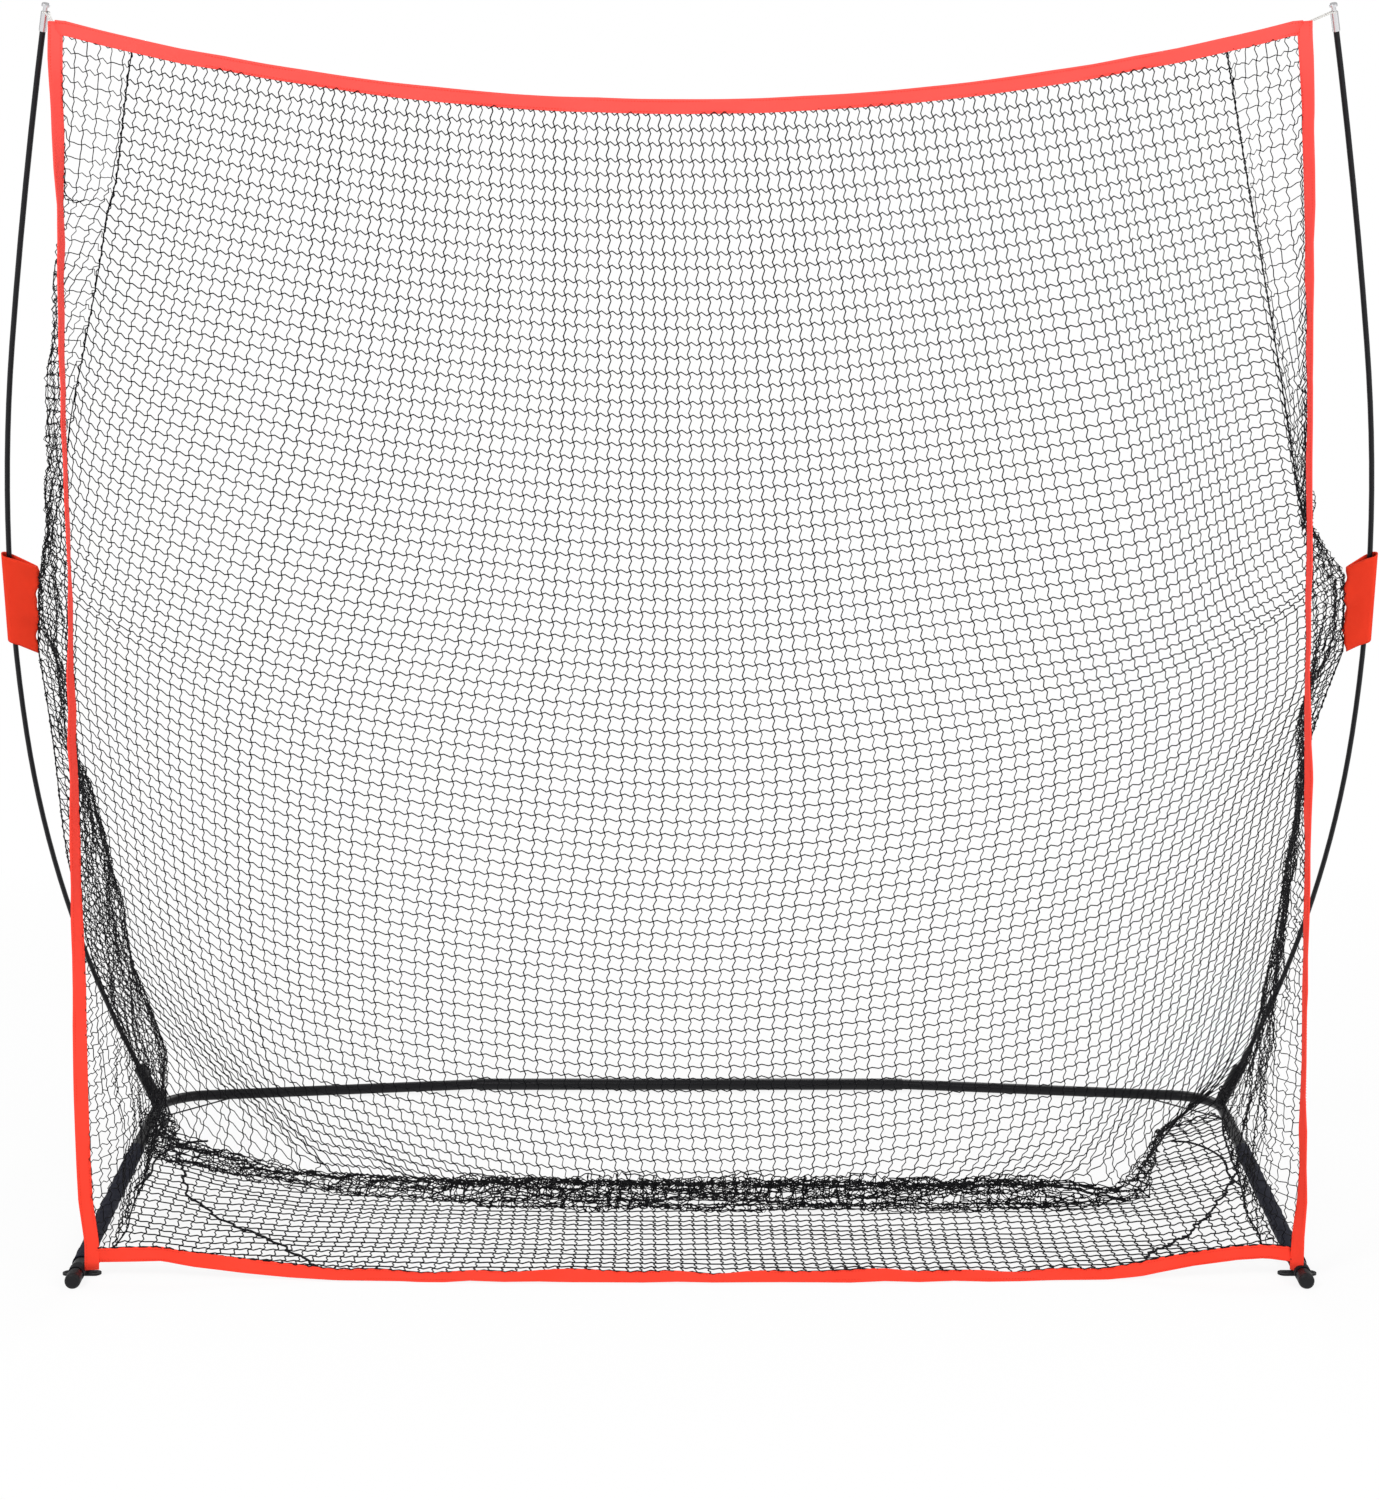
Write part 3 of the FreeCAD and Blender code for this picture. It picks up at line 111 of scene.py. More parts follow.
# %% Sockets with ordinary maths
class Value:
    """A socket of a finish that can be added, multiplied and so on."""

    def __init__(self, finish, socket):
        self.finish = finish
        self.socket = socket

    def maths(self, operation, first, second=None):
        sockets = {0: first} if second is None else {0: first, 1: second}
        return self.finish.node("ShaderNodeMath", {"operation": operation}, sockets)

    def __add__(self, other):
        return self.maths("ADD", self, other)

    def __mul__(self, other):
        return self.maths("MULTIPLY", self, other)

    def __pow__(self, other):
        return self.maths("POWER", self, other)

    def sine(self):
        return self.maths("SINE", self)


# %% A finish: a material and its node graph
class Finish:
    """A material on the standard shader, with helpers for its pattern."""

    def __init__(self, name, roughness, metallic=0.0, gloss=0.5):
        self.material = bpy.data.materials.new(name)
        self.material.use_nodes = True
        self.tree = self.material.node_tree
        self.shader = self.tree.nodes["Principled BSDF"]
        self.set("Roughness", roughness)
        self.set("Metallic", metallic)
        self.set("Specular IOR Level", gloss)
        self.places = self.tree.nodes.new("ShaderNodeTexCoord")

    def set(self, socket, value):
        self.give(self.shader.inputs[socket], value)

    def give(self, socket, value):
        if isinstance(value, Value):
            self.tree.links.new(value.socket, socket)
        else:
            socket.default_value = value

    def node(self, kind, settings, sockets, out=0):
        made = self.tree.nodes.new(kind)
        for name, value in settings.items():
            setattr(made, name, value)
        for name, value in sockets.items():
            self.give(made.inputs[name], value)
        return Value(self, made.outputs[out])

    def place(self, stretch=(1.0, 1.0, 1.0)):
        """Object coordinates of the surface, stretched along each axis."""
        where = Value(self, self.places.outputs["Object"])
        return self.node("ShaderNodeMapping", {}, {"Vector": where, "Scale": stretch})

    def noise(self, scale, detail=2.0, stretch=(1.0, 1.0, 1.0)):
        sockets = {"Vector": self.place(stretch), "Scale": scale, "Detail": detail}
        return self.node("ShaderNodeTexNoise", {}, sockets)

    def parts(self, which):
        """The coordinates one by one: of the object, or along and across the piece."""
        split = self.tree.nodes.new("ShaderNodeSeparateXYZ")
        self.tree.links.new(self.places.outputs[which], split.inputs[0])
        return [Value(self, socket) for socket in split.outputs]

    def colour(self, share, low, high):
        """A colour between two, by a share from 0 to 1."""
        sockets = {0: share, 6: (*low, 1.0), 7: (*high, 1.0)}
        mixed = self.node("ShaderNodeMix", {"data_type": "RGBA"}, sockets, out=2)
        self.set("Base Color", mixed)

    def bump(self, height, depth, strength=1.0):
        sockets = {"Height": height, "Distance": depth, "Strength": strength}
        self.set("Normal", self.node("ShaderNodeBump", {}, sockets))


# %% [markdown]
# ## Finishes of the rigid pieces
# The tubes are powder coated: almost black, with the faint orange peel that such a
# coat has. The rods are pultruded fibreglass with long fine streaks, the tips are
# turned bright metal, and the caps are moulded plastic with a dull grain.


# %% Hard finishes
def powder_coat():
    finish = Finish("powder_coat", roughness=0.4, gloss=0.22)
    peel = finish.noise(700.0, detail=1.0)
    patches = finish.noise(9.0, detail=3.0)
    finish.colour(patches, (0.003, 0.003, 0.004), (0.007, 0.007, 0.009))
    finish.set("Roughness", patches * 0.16 + 0.3)
    finish.bump(peel, 0.0003, 0.35)
    return finish.material


def moulded_plastic():
    finish = Finish("moulded_plastic", roughness=0.5, gloss=0.25)
    grain = finish.noise(1500.0, detail=3.0)
    finish.colour(finish.noise(30.0), (0.004, 0.004, 0.005), (0.010, 0.010, 0.012))
    finish.set("Roughness", grain * 0.2 + 0.42)
    finish.bump(grain, 0.0002, 0.4)
    return finish.material


def fibreglass():
    finish = Finish("fibreglass_rod", roughness=0.32, gloss=0.25)
    streaks = finish.noise(260.0, detail=2.0, stretch=(6.0, 6.0, 0.08))
    finish.colour(streaks, (0.003, 0.003, 0.004), (0.009, 0.009, 0.012))
    finish.set("Roughness", streaks * 0.18 + 0.22)
    finish.bump(streaks, 0.0001, 0.3)
    return finish.material


def turned_metal(name, low, high, roughness):
    finish = Finish(name, roughness=roughness, metallic=1.0)
    rings = finish.noise(900.0, detail=1.0, stretch=(0.2, 0.2, 4.0))
    finish.colour(rings, low, high)
    finish.set("Roughness", rings * 0.16 + roughness)
    finish.bump(rings, 0.0001, 0.2)
    return finish.material


POWDER_COAT = powder_coat()
MOULDED_PLASTIC = moulded_plastic()
FIBREGLASS = fibreglass()
BRIGHT_METAL = turned_metal("ferrule_metal", (0.62, 0.62, 0.64), (0.86, 0.86, 0.87), 0.2)
BUTTON_STEEL = turned_metal("button_steel", (0.42, 0.43, 0.45), (0.66, 0.67, 0.69), 0.28)

# %% [markdown]
# ## Finishes of the soft pieces
# Hem tape is a ribbed weave that runs along the tape, so its pattern follows the
# piece's own coordinates, in metres along it and across it. The sleeves are a plain
# weave, and cords get a twist that runs round them.


# %% Woven and twisted finishes
def weave(name, low, high, pitch):
    """Threads that cross each other, a pitch apart, over the piece's coordinates."""
    finish = Finish(name, roughness=0.8, gloss=0.2)
    along, across, _ = finish.parts("UV")
    turns = 2 * math.pi / pitch
    warp = (along * turns).sine()
    weft = (across * turns).sine()
    cloth = warp * weft * 0.5 + 0.5
    patches = finish.noise(14.0, detail=4.0)
    finish.colour(patches * 0.7 + cloth * 0.3, low, high)
    finish.set("Roughness", cloth * -0.1 + 0.8)
    finish.bump(cloth, 0.00015, 0.6)
    return finish.material


def ribbed_tape(name, low, high):
    """Fine ribs across a tape; the higher the tape, the paler it is painted: painted light for the stronger
    light on the upper hem.
    """
    finish = Finish(name, roughness=0.78, gloss=0.2)
    along = finish.parts("UV")[0]
    height = finish.parts("Object")[2]
    ribs = (along * (2 * math.pi / 0.0014)).sine() * 0.5 + 0.5
    patches = finish.noise(11.0, detail=4.0)
    # Painted light: the colour grows paler with height, as if the upper hem were lit more strongly.
    finish.colour(height * 0.34 + patches * 0.2 + ribs * 0.06, low, high)
    finish.set("Roughness", ribs * -0.12 + 0.84)
    finish.bump(ribs + finish.noise(70.0, detail=2.0) * 2.0, 0.0002, 0.5)
    return finish.material


def thread(name, low, high):
    """Sewing thread: fine uneven strands."""
    finish = Finish(name, roughness=0.7, gloss=0.2)
    uneven = finish.noise(2500.0, detail=2.0)
    finish.colour(uneven, low, high)
    finish.bump(uneven, 0.0001, 0.5)
    return finish.material


def twisted_cord(name, low, high, lay):
    """Strands that run round a cord on a slant."""
    finish = Finish(name, roughness=0.7, gloss=0.15)
    along, across, _ = finish.parts("UV")
    strands = ((along * (1.0 / lay) + across) * (2 * math.pi)).sine() * 0.5 + 0.5
    finish.colour(strands * 0.6 + finish.noise(60.0) * 0.4, low, high)
    finish.bump(strands, 0.0004, 0.7)
    return finish.material


def net_cord():
    """Black twine, a little uneven along its length."""
    finish = Finish("net_twine", roughness=0.6, gloss=0.1)
    uneven = finish.noise(420.0, detail=1.0)
    finish.colour(uneven, (0.002, 0.002, 0.003), (0.006, 0.006, 0.008))
    finish.set("Roughness", uneven * 0.25 + 0.5)
    return finish.material


HEM_TAPE = ribbed_tape("hem_tape", (0.93, 0.044, 0.016), (1.0, 0.092, 0.080))
SLEEVE_CLOTH = weave("sleeve_cloth", (0.78, 0.030, 0.008), (0.93, 0.050, 0.014), 0.0011)
NAVY_CLOTH = weave("navy_cloth", (0.004, 0.005, 0.013), (0.010, 0.012, 0.026), 0.0012)
STRAP_CLOTH = weave("strap_cloth", (0.004, 0.004, 0.006), (0.010, 0.010, 0.013), 0.0018)
LOOP_CORD = twisted_cord("loop_cord", (0.45, 0.44, 0.42), (0.80, 0.79, 0.76), 0.004)
ROPE = twisted_cord("edge_rope", (0.003, 0.003, 0.004), (0.010, 0.010, 0.014), 0.012)
TWINE_FINISH = net_cord()
RED_THREAD = thread("red_thread", (0.62, 0.022, 0.008), (0.86, 0.050, 0.022))

# %% [markdown]
# ## Dressing the CAD pieces
# Their shapes are right as they are, so each keeps its mesh and only swaps the
# flat CAD colour for one of the finishes above.

# %% Finish of each rigid node
RIGID = {
    "cross_tube": POWDER_COAT, "corner_tube": POWDER_COAT, "side_tube": POWDER_COAT,
    "stake_tabs": POWDER_COAT, "corner_brace": POWDER_COAT, "pole_socket": POWDER_COAT,
    "foot_cap": MOULDED_PLASTIC, "socket_bush": MOULDED_PLASTIC,
    "lower_pole": FIBREGLASS, "upper_pole": FIBREGLASS,
    "joint_ferrule": BRIGHT_METAL, "tip_ferrule": BRIGHT_METAL, "tip_cap": BRIGHT_METAL,
    "snap_button": BUTTON_STEEL, "button_spring": BUTTON_STEEL,
}
dressed = 0
for name, node in nodes.items():
    for ending, material in RIGID.items():
        if name.endswith(ending):
            node.data.materials.clear()
            node.data.materials.append(material)
            dressed += 1
print("rigid nodes dressed", dressed)

# %% [markdown]
# ## From numbers to pieces
# Most soft pieces are made from points: a grid of them for cloth, a line of them
# for a cord. These helpers turn such points into a mesh with its own coordinates
# in metres, give it a finish, hide the CAD nodes it stands for, and let it ride on
# the frame.


# %% Helpers for meshes
def signed_volume(points, faces):
    """More than zero where the faces of a closed mesh look outwards."""
    places = np.asarray(points, float)
    total = 0.0
    for face in faces:
        for second, third in zip(face[1:-1], face[2:]):
            total += places[face[0]].dot(np.cross(places[second], places[third])) / 6
    return total


def new_piece(name, points, faces, material, uvs=None):
    """A mesh piece at the origin; uvs holds one pair per point."""
    if signed_volume(points, faces) < 0:
        faces = [tuple(face)[::-1] for face in faces]
    mesh = bpy.data.meshes.new(name)
    mesh.from_pydata([tuple(p) for p in points], [], faces)
    if uvs is not None:
        layer = mesh.uv_layers.new(name="UVMap")
        corners = np.zeros(len(mesh.loops), int)
        mesh.loops.foreach_get("vertex_index", corners)
        layer.data.foreach_set("uv", np.asarray(uvs, float)[corners].ravel())
    mesh.polygons.foreach_set("use_smooth", [True] * len(mesh.polygons))
    mesh.materials.append(material)
    mesh.update()
    return linked(name, mesh)


def on_frame(piece, slot, *stands_for):
    """The piece rides on the frame, and stands for these CAD nodes."""
    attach(piece, ROOT)
    if stands_for:
        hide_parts(*stands_for)
    return piece


def lengths_along(points):
    """How far along a line each of its points is."""
    steps = np.linalg.norm(np.diff(points, axis=0), axis=1)
    return np.concatenate([[0.0], np.cumsum(steps)])


def spaced(points, shares):
    """Points of a line at shares of its length."""
    points = np.asarray(points, float)
    far = lengths_along(points)
    at = np.asarray(shares) * far[-1]
    return np.stack([np.interp(at, far, points[:, axis]) for axis in range(3)], axis=1)


def rounded(points, count):
    """A smooth line through a few points, by Catmull-Rom, with count points."""
    points = [np.asarray(p, float) for p in points]
    points = [2 * points[0] - points[1], *points, 2 * points[-1] - points[-2]]
    out = []
    for share in np.linspace(0, len(points) - 3 - 1e-9, count * 4):
        step = int(share)
        t = share - step
        a, b, c, d = points[step:step + 4]
        out.append(0.5 * (2 * b + (c - a) * t + (2 * a - 5 * b + 4 * c - d) * t ** 2
                          + (3 * b - a - 3 * c + d) * t ** 3))
    return spaced(out, np.linspace(0, 1, count))


def flipped(points):
    """The same points on the other side of the frame."""
    points = np.array(points, float)
    points[..., 0] *= -1
    return points


def on_side(points, side):
    """Points of the right-hand side, or their mirror image on the left."""
    return np.array(points, float) if side > 0 else flipped(points)


def unit(vector):
    vector = np.asarray(vector, float)
    return vector / np.linalg.norm(vector)


def read(table, at):
    """The other columns of a table, read between its rows at a value of the first."""
    table = np.asarray(table, float)
    return [float(np.interp(at, table[:, 0], column)) for column in table.T[1:]]


SIDES = {-1: "left", 1: "right"}

# %% Helpers for tubes and closed sheets
def ring_faces(rings, sides, closed_ends=True):
    """Faces of a tube made of rings of points."""
    faces = []
    for ring in range(rings - 1):
        for side in range(sides):
            here, there = ring * sides + side, ring * sides + (side + 1) % sides
            faces.append((here, there, there + sides, here + sides))
    if closed_ends:
        faces.append(tuple(range(sides))[::-1])
        faces.append(tuple(range((rings - 1) * sides, rings * sides)))
    return faces


def two_skins(rings, sides):
    """Faces of an outer and an inner tube, joined at both ends."""
    outer = ring_faces(rings, sides, closed_ends=False)
    shift = rings * sides
    faces = outer + [tuple(n + shift for n in face) for face in outer]
    for ring, way in ((0, 1), (rings - 1, -1)):
        start = ring * sides
        for here in range(sides):
            there = (here + 1) % sides
            inner_here, inner_there = (shift + start + sides - 1 - n for n in (here, there))
            faces.append((start + here, inner_here, inner_there, start + there)[::way])
    return faces


def steady_frames(line):
    """Directions along a line, and two square to it that don't twist."""
    ahead = np.gradient(line, axis=0)
    ahead /= np.linalg.norm(ahead, axis=1)[:, None]
    hint = np.array([0, 0, 1.0]) if abs(ahead[0][2]) < 0.8 else np.array([1.0, 0, 0])
    sides = []
    for direction in ahead:
        hint = hint - direction * hint.dot(direction)
        hint /= np.linalg.norm(hint)
        sides.append(hint)
    sides = np.array(sides)
    return ahead, sides, np.cross(ahead, sides)


def tube_mesh(name, line, radius, material, sides=10):
    """A round cord along a line, with coordinates along it and round it."""
    line = np.asarray(line, float)
    ahead, first, second = steady_frames(line)
    radii = np.broadcast_to(np.asarray(radius, float), (len(line),))
    points, uvs = [], []
    for place, (centre, a, b, far) in enumerate(zip(line, first, second, lengths_along(line))):
        for side in range(sides):
            angle = 2 * math.pi * side / sides
            points.append(centre + (a * math.cos(angle) + b * math.sin(angle)) * radii[place])
            uvs.append((far, side / sides))
    return new_piece(name, points, ring_faces(len(line), sides), material, uvs)


# %% [markdown]
# ## Where the net is held
# The net hangs from the top hem, is pulled out by a sleeve on each pole, is tied at
# the rear corners of the frame, and ends at the feet. These places repeat the CAD's
# sizes. The real net hangs a little askew, which `askew` adds to its hem.

# %% Holding points, on the right-hand side, in metres
HEM_WIDTH = 0.025
HALF_MOUTH_TOP = 1.038
HEM_SAG = 0.128
BACK_LOW = np.array([0.0, -0.155, 0.0383])
BACK_HIGH = np.array([0.0, -0.597, 2.168])
BACK_UP = (BACK_HIGH - BACK_LOW) / np.linalg.norm(BACK_HIGH - BACK_LOW)
MOUTH_FOOT = np.array([1.041, -0.571, 0.0275])
MOUTH_TOP = np.array([1.038, -0.592, 2.143])
SLEEVE = np.array([1.235, -0.093, 1.146])
POLE_RUN = np.array([-0.0711, -0.4274, 0.9013])
REAR_TIE = np.array([1.148, 0.372, 0.042])
FOLD_START = 0.924


def on_back(x, z):
    """Point on the plane of the back net, at a height."""
    share = (z - BACK_LOW[2]) / (BACK_HIGH[2] - BACK_LOW[2])
    return np.array([x, BACK_LOW[1] + (BACK_HIGH[1] - BACK_LOW[1]) * share, z])


def askew(points):
    """The hem's corners lean to the left at the top, and to the right at the foot."""
    points = np.array(points, float)
    points[..., 0] += 0.009 - 0.027 * points[..., 2] / 2.17
    return points


def top_hem_line(x):
    """Centre line of the top hem, which sags in an arc between its corners."""
    radius = (HALF_MOUTH_TOP ** 2 + HEM_SAG ** 2) / (2 * HEM_SAG)
    drop = HEM_SAG - (radius - math.sqrt(radius ** 2 - x ** 2))
    return on_back(x, BACK_HIGH[2] - HEM_WIDTH / 2 - drop)


def top_seam(x):
    """Lower edge of the top hem, where the netting is sewn in."""
    return askew(top_hem_line(x) - BACK_UP * HEM_WIDTH / 2)


# Height share, and how far the upright hem's sewn edge stands outward and back there
UPRIGHT_BOW = {
    1: [(0.0, 0.0, 0.0), (0.02, 0.006, 0.004), (0.08, 0.019, 0.012), (0.2, 0.028, 0.024),
        (0.42, 0.032, 0.036), (0.6, 0.033, 0.037), (0.74, 0.031, 0.030), (0.85, 0.023, 0.020),
        (0.94, 0.014, 0.009), (1.0, 0.003, 0.0)],
    -1: [(0.0, 0.0, 0.0), (0.014, 0.0, 0.003), (0.05, 0.009, 0.007), (0.08, 0.012, 0.011),
         (0.145, 0.014, 0.018), (0.2, 0.016, 0.024), (0.3, 0.018, 0.030), (0.42, 0.022, 0.036),
         (0.6, 0.024, 0.037), (0.74, 0.022, 0.030), (0.85, 0.014, 0.020), (0.94, 0.005, 0.009),
         (1.0, 0.0, 0.0)],
}


def upright_seam(share, side):
    """Sewn edge of an upright hem, at a share of its height from the foot."""
    out, back = read(UPRIGHT_BOW[side], share)
    point = MOUTH_FOOT + (MOUTH_TOP - MOUTH_FOOT) * share + np.array([out, back, 0.0])
    return askew(on_side(point, side))


HALF_FOOT = 1.041
HEM_BOW = 0.030
HEM_LEAN = math.radians(62.0)
# Place across, and how high the bottom hem's lower edge hangs there, for each side
BOTTOM_LIFT = {
    -1: [(0.0, 0.0), (0.62, 0.0), (0.70, 0.003), (0.79, 0.011), (0.87, 0.021), (0.93, 0.030),
         (0.98, 0.028), (1.041, 0.0265)],
    1: [(0.0, 0.0), (0.72, 0.0), (0.78, 0.005), (0.87, 0.022), (0.95, 0.032), (1.0, 0.034),
        (1.041, 0.0275)],
}


def bottom_hem_edge(x):
    """Lower edge of the bottom hem, and the direction across its tape."""
    lift = read(BOTTOM_LIFT[1 if x > 0 else -1], abs(x))[0]
    lean = HEM_LEAN * (1 - min(1.0, lift / 0.024))
    lean = max(0.0, lean + 0.14 * math.sin(13.0 * x + 1.0) + 0.10 * math.sin(37.0 * x))
    y = MOUTH_FOOT[1] - HEM_BOW * (1 - (x / HALF_FOOT) ** 2)
    edge = np.array([x, y, lift + 0.0013 * math.sin(lean) + 0.0009])
    return edge, np.array([0.0, math.sin(lean), math.cos(lean)])


print("back net from", np.round(top_seam(0.0), 3), "to", np.round(BACK_LOW, 3))

# %% [markdown]
# ## Hanging the net
# A net is a grid of knots joined by bars of twine that can't stretch, yet fold at
# no cost. That is what position-based dynamics is made for: pull every knot down a
# little, then move the two ends of each bar that came out too long towards each
# other, and repeat until it settles. The cloth modifier could do it too, but
# these few lines run in seconds, give the same result each time, and let the side
# nets share the seam of the back net.

# %% Size of the net
BAR = 0.0245
COLUMNS = 104
# How much narrower than in the CAD each sleeve is pulled, at its foot and at its top
SLEEVE_PULL = {-1: (0.022, 0.010), 1: (0.027, 0.0185)}
# How far up and down the pole from a sleeve's middle the net is sewn to it
SEWN_UP, SEWN_DOWN = 0.066, 0.098


def fold_top(side):
    """Top corner of the net, and the ends of the stretch that is sewn to the sleeve."""
    low, high = SLEEVE_PULL[side]
    return [top_hem_line(FOLD_START) - BACK_UP * HEM_WIDTH / 2,
            SLEEVE + POLE_RUN * SEWN_UP + np.array([high, 0, 0]),
            SLEEVE - POLE_RUN * SEWN_DOWN + np.array([low, 0, 0])]


# On the left the fold lies beside the pole, on the right it is pulled inward
FOLD_LOW = {
    1: [(1.222, 0.010, 0.860), (1.203, 0.075, 0.640), (1.192, 0.160, 0.420),
        (1.180, 0.270, 0.190), REAR_TIE],
    -1: [(1.260, 0.030, 0.860), (1.262, 0.128, 0.620), (1.240, 0.228, 0.390),
         (1.196, 0.315, 0.190), REAR_TIE],
}
FOLD_LINE = {side: np.array([*fold_top(side), *FOLD_LOW[side]]) for side in SIDES}
FOLD_FAR = lengths_along(FOLD_LINE[-1])
FOLD_ROWS = int(round(FOLD_FAR[-1] * 1.015 / BAR))
SLEEVE_ROWS = [int(round(far / FOLD_FAR[-1] * FOLD_ROWS)) for far in FOLD_FAR[1:3]]
MIDDLE_ROWS = 84
CORNER_COLUMNS = 20
# Where the back net meets the floor, from the middle to the rear tie, for each side
FLAT_TO = 0.70
FLOOR_LINE = {
    1: [(0.0, -0.155, 0.030), (0.70, -0.155, 0.030), (0.83, -0.150, 0.027), (0.886, -0.045, 0.020),
        (0.930, 0.081, 0.016), (0.955, 0.160, 0.014), (0.975, 0.230, 0.013), (1.010, 0.300, 0.014),
        (1.070, 0.350, 0.020), REAR_TIE],
    -1: [(0.0, -0.155, 0.030), (-0.25, -0.148, 0.030), (-0.50, -0.116, 0.030), (-0.70, -0.072, 0.028),
         (-0.80, -0.036, 0.025), (-0.880, 0.012, 0.022), (-0.950, 0.052, 0.022), (-1.020, 0.090, 0.026),
         (-1.072, 0.140, 0.030), (-1.094, 0.215, 0.032), (-1.113, 0.290, 0.036), flipped(REAR_TIE)],
}
print("rows at the fold", FOLD_ROWS, "in the middle", MIDDLE_ROWS, "columns", COLUMNS)


def rows_at(column):
    """Rows of hanging net above the floor; the corners have more."""
    edge = min(column, COLUMNS - column)
    more = max(0, CORNER_COLUMNS - edge) * (FOLD_ROWS - MIDDLE_ROWS) / CORNER_COLUMNS
    return int(round(MIDDLE_ROWS + more))


# %% The knots of the whole net
# A bar may fold up to this share of its length, and below it pushes back a little
FOLDS_TO = 0.8
PUSH_BACK = 0.15


class Net:
    """Knots, which of them are held, and the bars in groups that share no knot."""

    def __init__(self):
        self.knots = []
        self.held = []
        self.groups = []

    def knot(self, place, held=False):
        self.knots.append(np.asarray(place, float))
        self.held.append(held)
        return len(self.knots) - 1

    def bars(self, pairs, full=None):
        """Bars between pairs of knots, of one bar's length or of their own."""
        if pairs:
            ends = np.array(pairs)
            lengths = np.full(len(ends), BAR) if full is None else np.array(full)
            self.groups.append((ends[:, 0], ends[:, 1], lengths))

    def grid_bars(self, grid):
        """Bars along and down a grid of knot numbers, where -1 is no knot."""
        for ways in (grid, grid.T):
            for first in (0, 1):
                here, there = ways[:, first:-1:2], ways[:, first + 1::2]
                both = (here >= 0) & (there >= 0)
                self.bars(list(zip(here[both], there[both])))

    def settle(self, rounds, pull=0.00012, floor=0.004):
        """Pull down and shorten, round after round."""
        place = np.array(self.knots)
        loose = (~np.array(self.held)).astype(float)
        for count in range(rounds):
            place[:, 2] -= pull * (1.15 - count / rounds) * loose
            for a, b, full in self.groups:
                reach = place[b] - place[a]
                long = np.sqrt((reach ** 2).sum(1)) + 1e-9
                share = np.maximum(loose[a] + loose[b], 1e-9)
                short = np.where(long < full * FOLDS_TO, PUSH_BACK * (long - full * FOLDS_TO), 0.0)
                over = np.where(long > full, long - full, short)
                move = reach * (over / (long * share))[:, None]
                place[a] += move * loose[a][:, None]
                place[b] -= move * loose[b][:, None]
            place[:, 2] = np.maximum(place[:, 2], floor)
        self.knots = place


net = Net()

# %% The back net's grid, and its first guess
def fold_places(side):
    """The knots of a fold: between hem and sleeve, along the sleeve, and down to the tie."""
    line = FOLD_LINE[side]
    upper = spaced(line[:2], np.linspace(0, 1, SLEEVE_ROWS[0] + 1))
    sewn = spaced(line[1:3], np.linspace(0, 1, SLEEVE_ROWS[1] - SLEEVE_ROWS[0] + 1))
    lower = spaced(rounded(line[2:], 200), np.linspace(0, 1, FOLD_ROWS - SLEEVE_ROWS[1] + 1))
    return on_side(np.vstack([upper[:-1], sewn[:-1], lower]), side)


folds = {side: fold_places(side) for side in SIDES}


def floor_place(column):
    """Where a column of the back net meets the floor: evenly spaced in the middle
    part, and evenly along the line in the corners."""
    middle = column - COLUMNS / 2
    flat = COLUMNS / 2 - CORNER_COLUMNS
    line = rounded(FLOOR_LINE[1 if middle > 0 else -1], 400)
    turn = int(np.argmax(np.abs(line[:, 0]) > FLAT_TO))
    if abs(middle) <= flat:
        return spaced(line[:turn], [abs(middle) / flat])[0]
    return spaced(line[turn:], [(abs(middle) - flat) / CORNER_COLUMNS])[0]


def first_guess(row, column, top, bottom):
    """A smooth patch between the hem, the floor and the two folds."""
    across = column / COLUMNS
    down = row / rows_at(column)
    left, right = folds[-1][row], folds[1][row]
    upright = top[column] * (1 - down) + bottom[column] * down
    level = left * (1 - across) + right * across
    corners = ((top[0] * (1 - across) + top[-1] * across) * (1 - down)
               + (bottom[0] * (1 - across) + bottom[-1] * across) * down)
    hold = abs(2 * across - 1) ** 1.4
    return upright + (level - corners) * np.array([1.0, hold, hold])


tops = np.array([top_seam(FOLD_START * (column / COLUMNS * 2 - 1)) for column in range(COLUMNS + 1)])
floors = np.array([floor_place(column) for column in range(COLUMNS + 1)])
back_grid = -np.ones((FOLD_ROWS + 1, COLUMNS + 1), int)
FOLD_COLUMN = {-1: 0, 1: COLUMNS}
for column in range(COLUMNS + 1):
    for row in range(rows_at(column) + 1):
        place, held = first_guess(row, column, tops, floors), False
        if column in (0, COLUMNS):
            place = folds[1 if column else -1][row]
            held = row >= SLEEVE_ROWS[0]
        if row in (0, rows_at(column)):
            place, held = (floors if row else tops)[column], True
        back_grid[row, column] = net.knot(place, held)
net.grid_bars(back_grid)
print("knots of the back net", len(net.knots))

# %% [markdown]
# ## The side nets
# Each side net is cut slanting: its columns run beside the upright hem, and one
# after the other starts where the net gets wide enough. The last knot of a row is
# joined to the fold of the back net by whatever is left of a bar. Up to a height the
# knots are placed along a course seen in the photo, shaken a little, and held there.
# Above it they hang by themselves.

# %% A seeded disorder, and the height of the floor net
shake = np.random.default_rng(7)
ROLLS = shake.uniform(0.0, 2 * math.pi, (6, 3))


def rolling(column, row, which):
    """A smooth disorder from -1 to 1 that runs on from knot to knot."""
    waves = ((0.35, 0.9), (0.8, -0.6), (1.3, 1.7), (0.15, 2.1), (1.9, 0.4), (0.55, -1.4))
    return sum(math.sin(a * column + b * row + ROLLS[n, which]) for n, (a, b) in enumerate(waves)) / 3.2


def floor_surface(x, y):
    """Height of the floor net: flat in the middle, slung up towards the rear corners."""
    near = max(0.0, (abs(x) - 0.62) / 0.44)
    behind = max(0.0, (y + 0.571) / 0.55)
    sling = 0.058 * near ** 2 * behind * (2.2 - behind)
    ripple = 0.002 * (1 + math.sin(5.0 * x + 30.0 * y)) + 0.004 * near * math.sin(40.0 * y + 25.0 * x)
    return 0.0028 + sling + max(0.0, ripple)


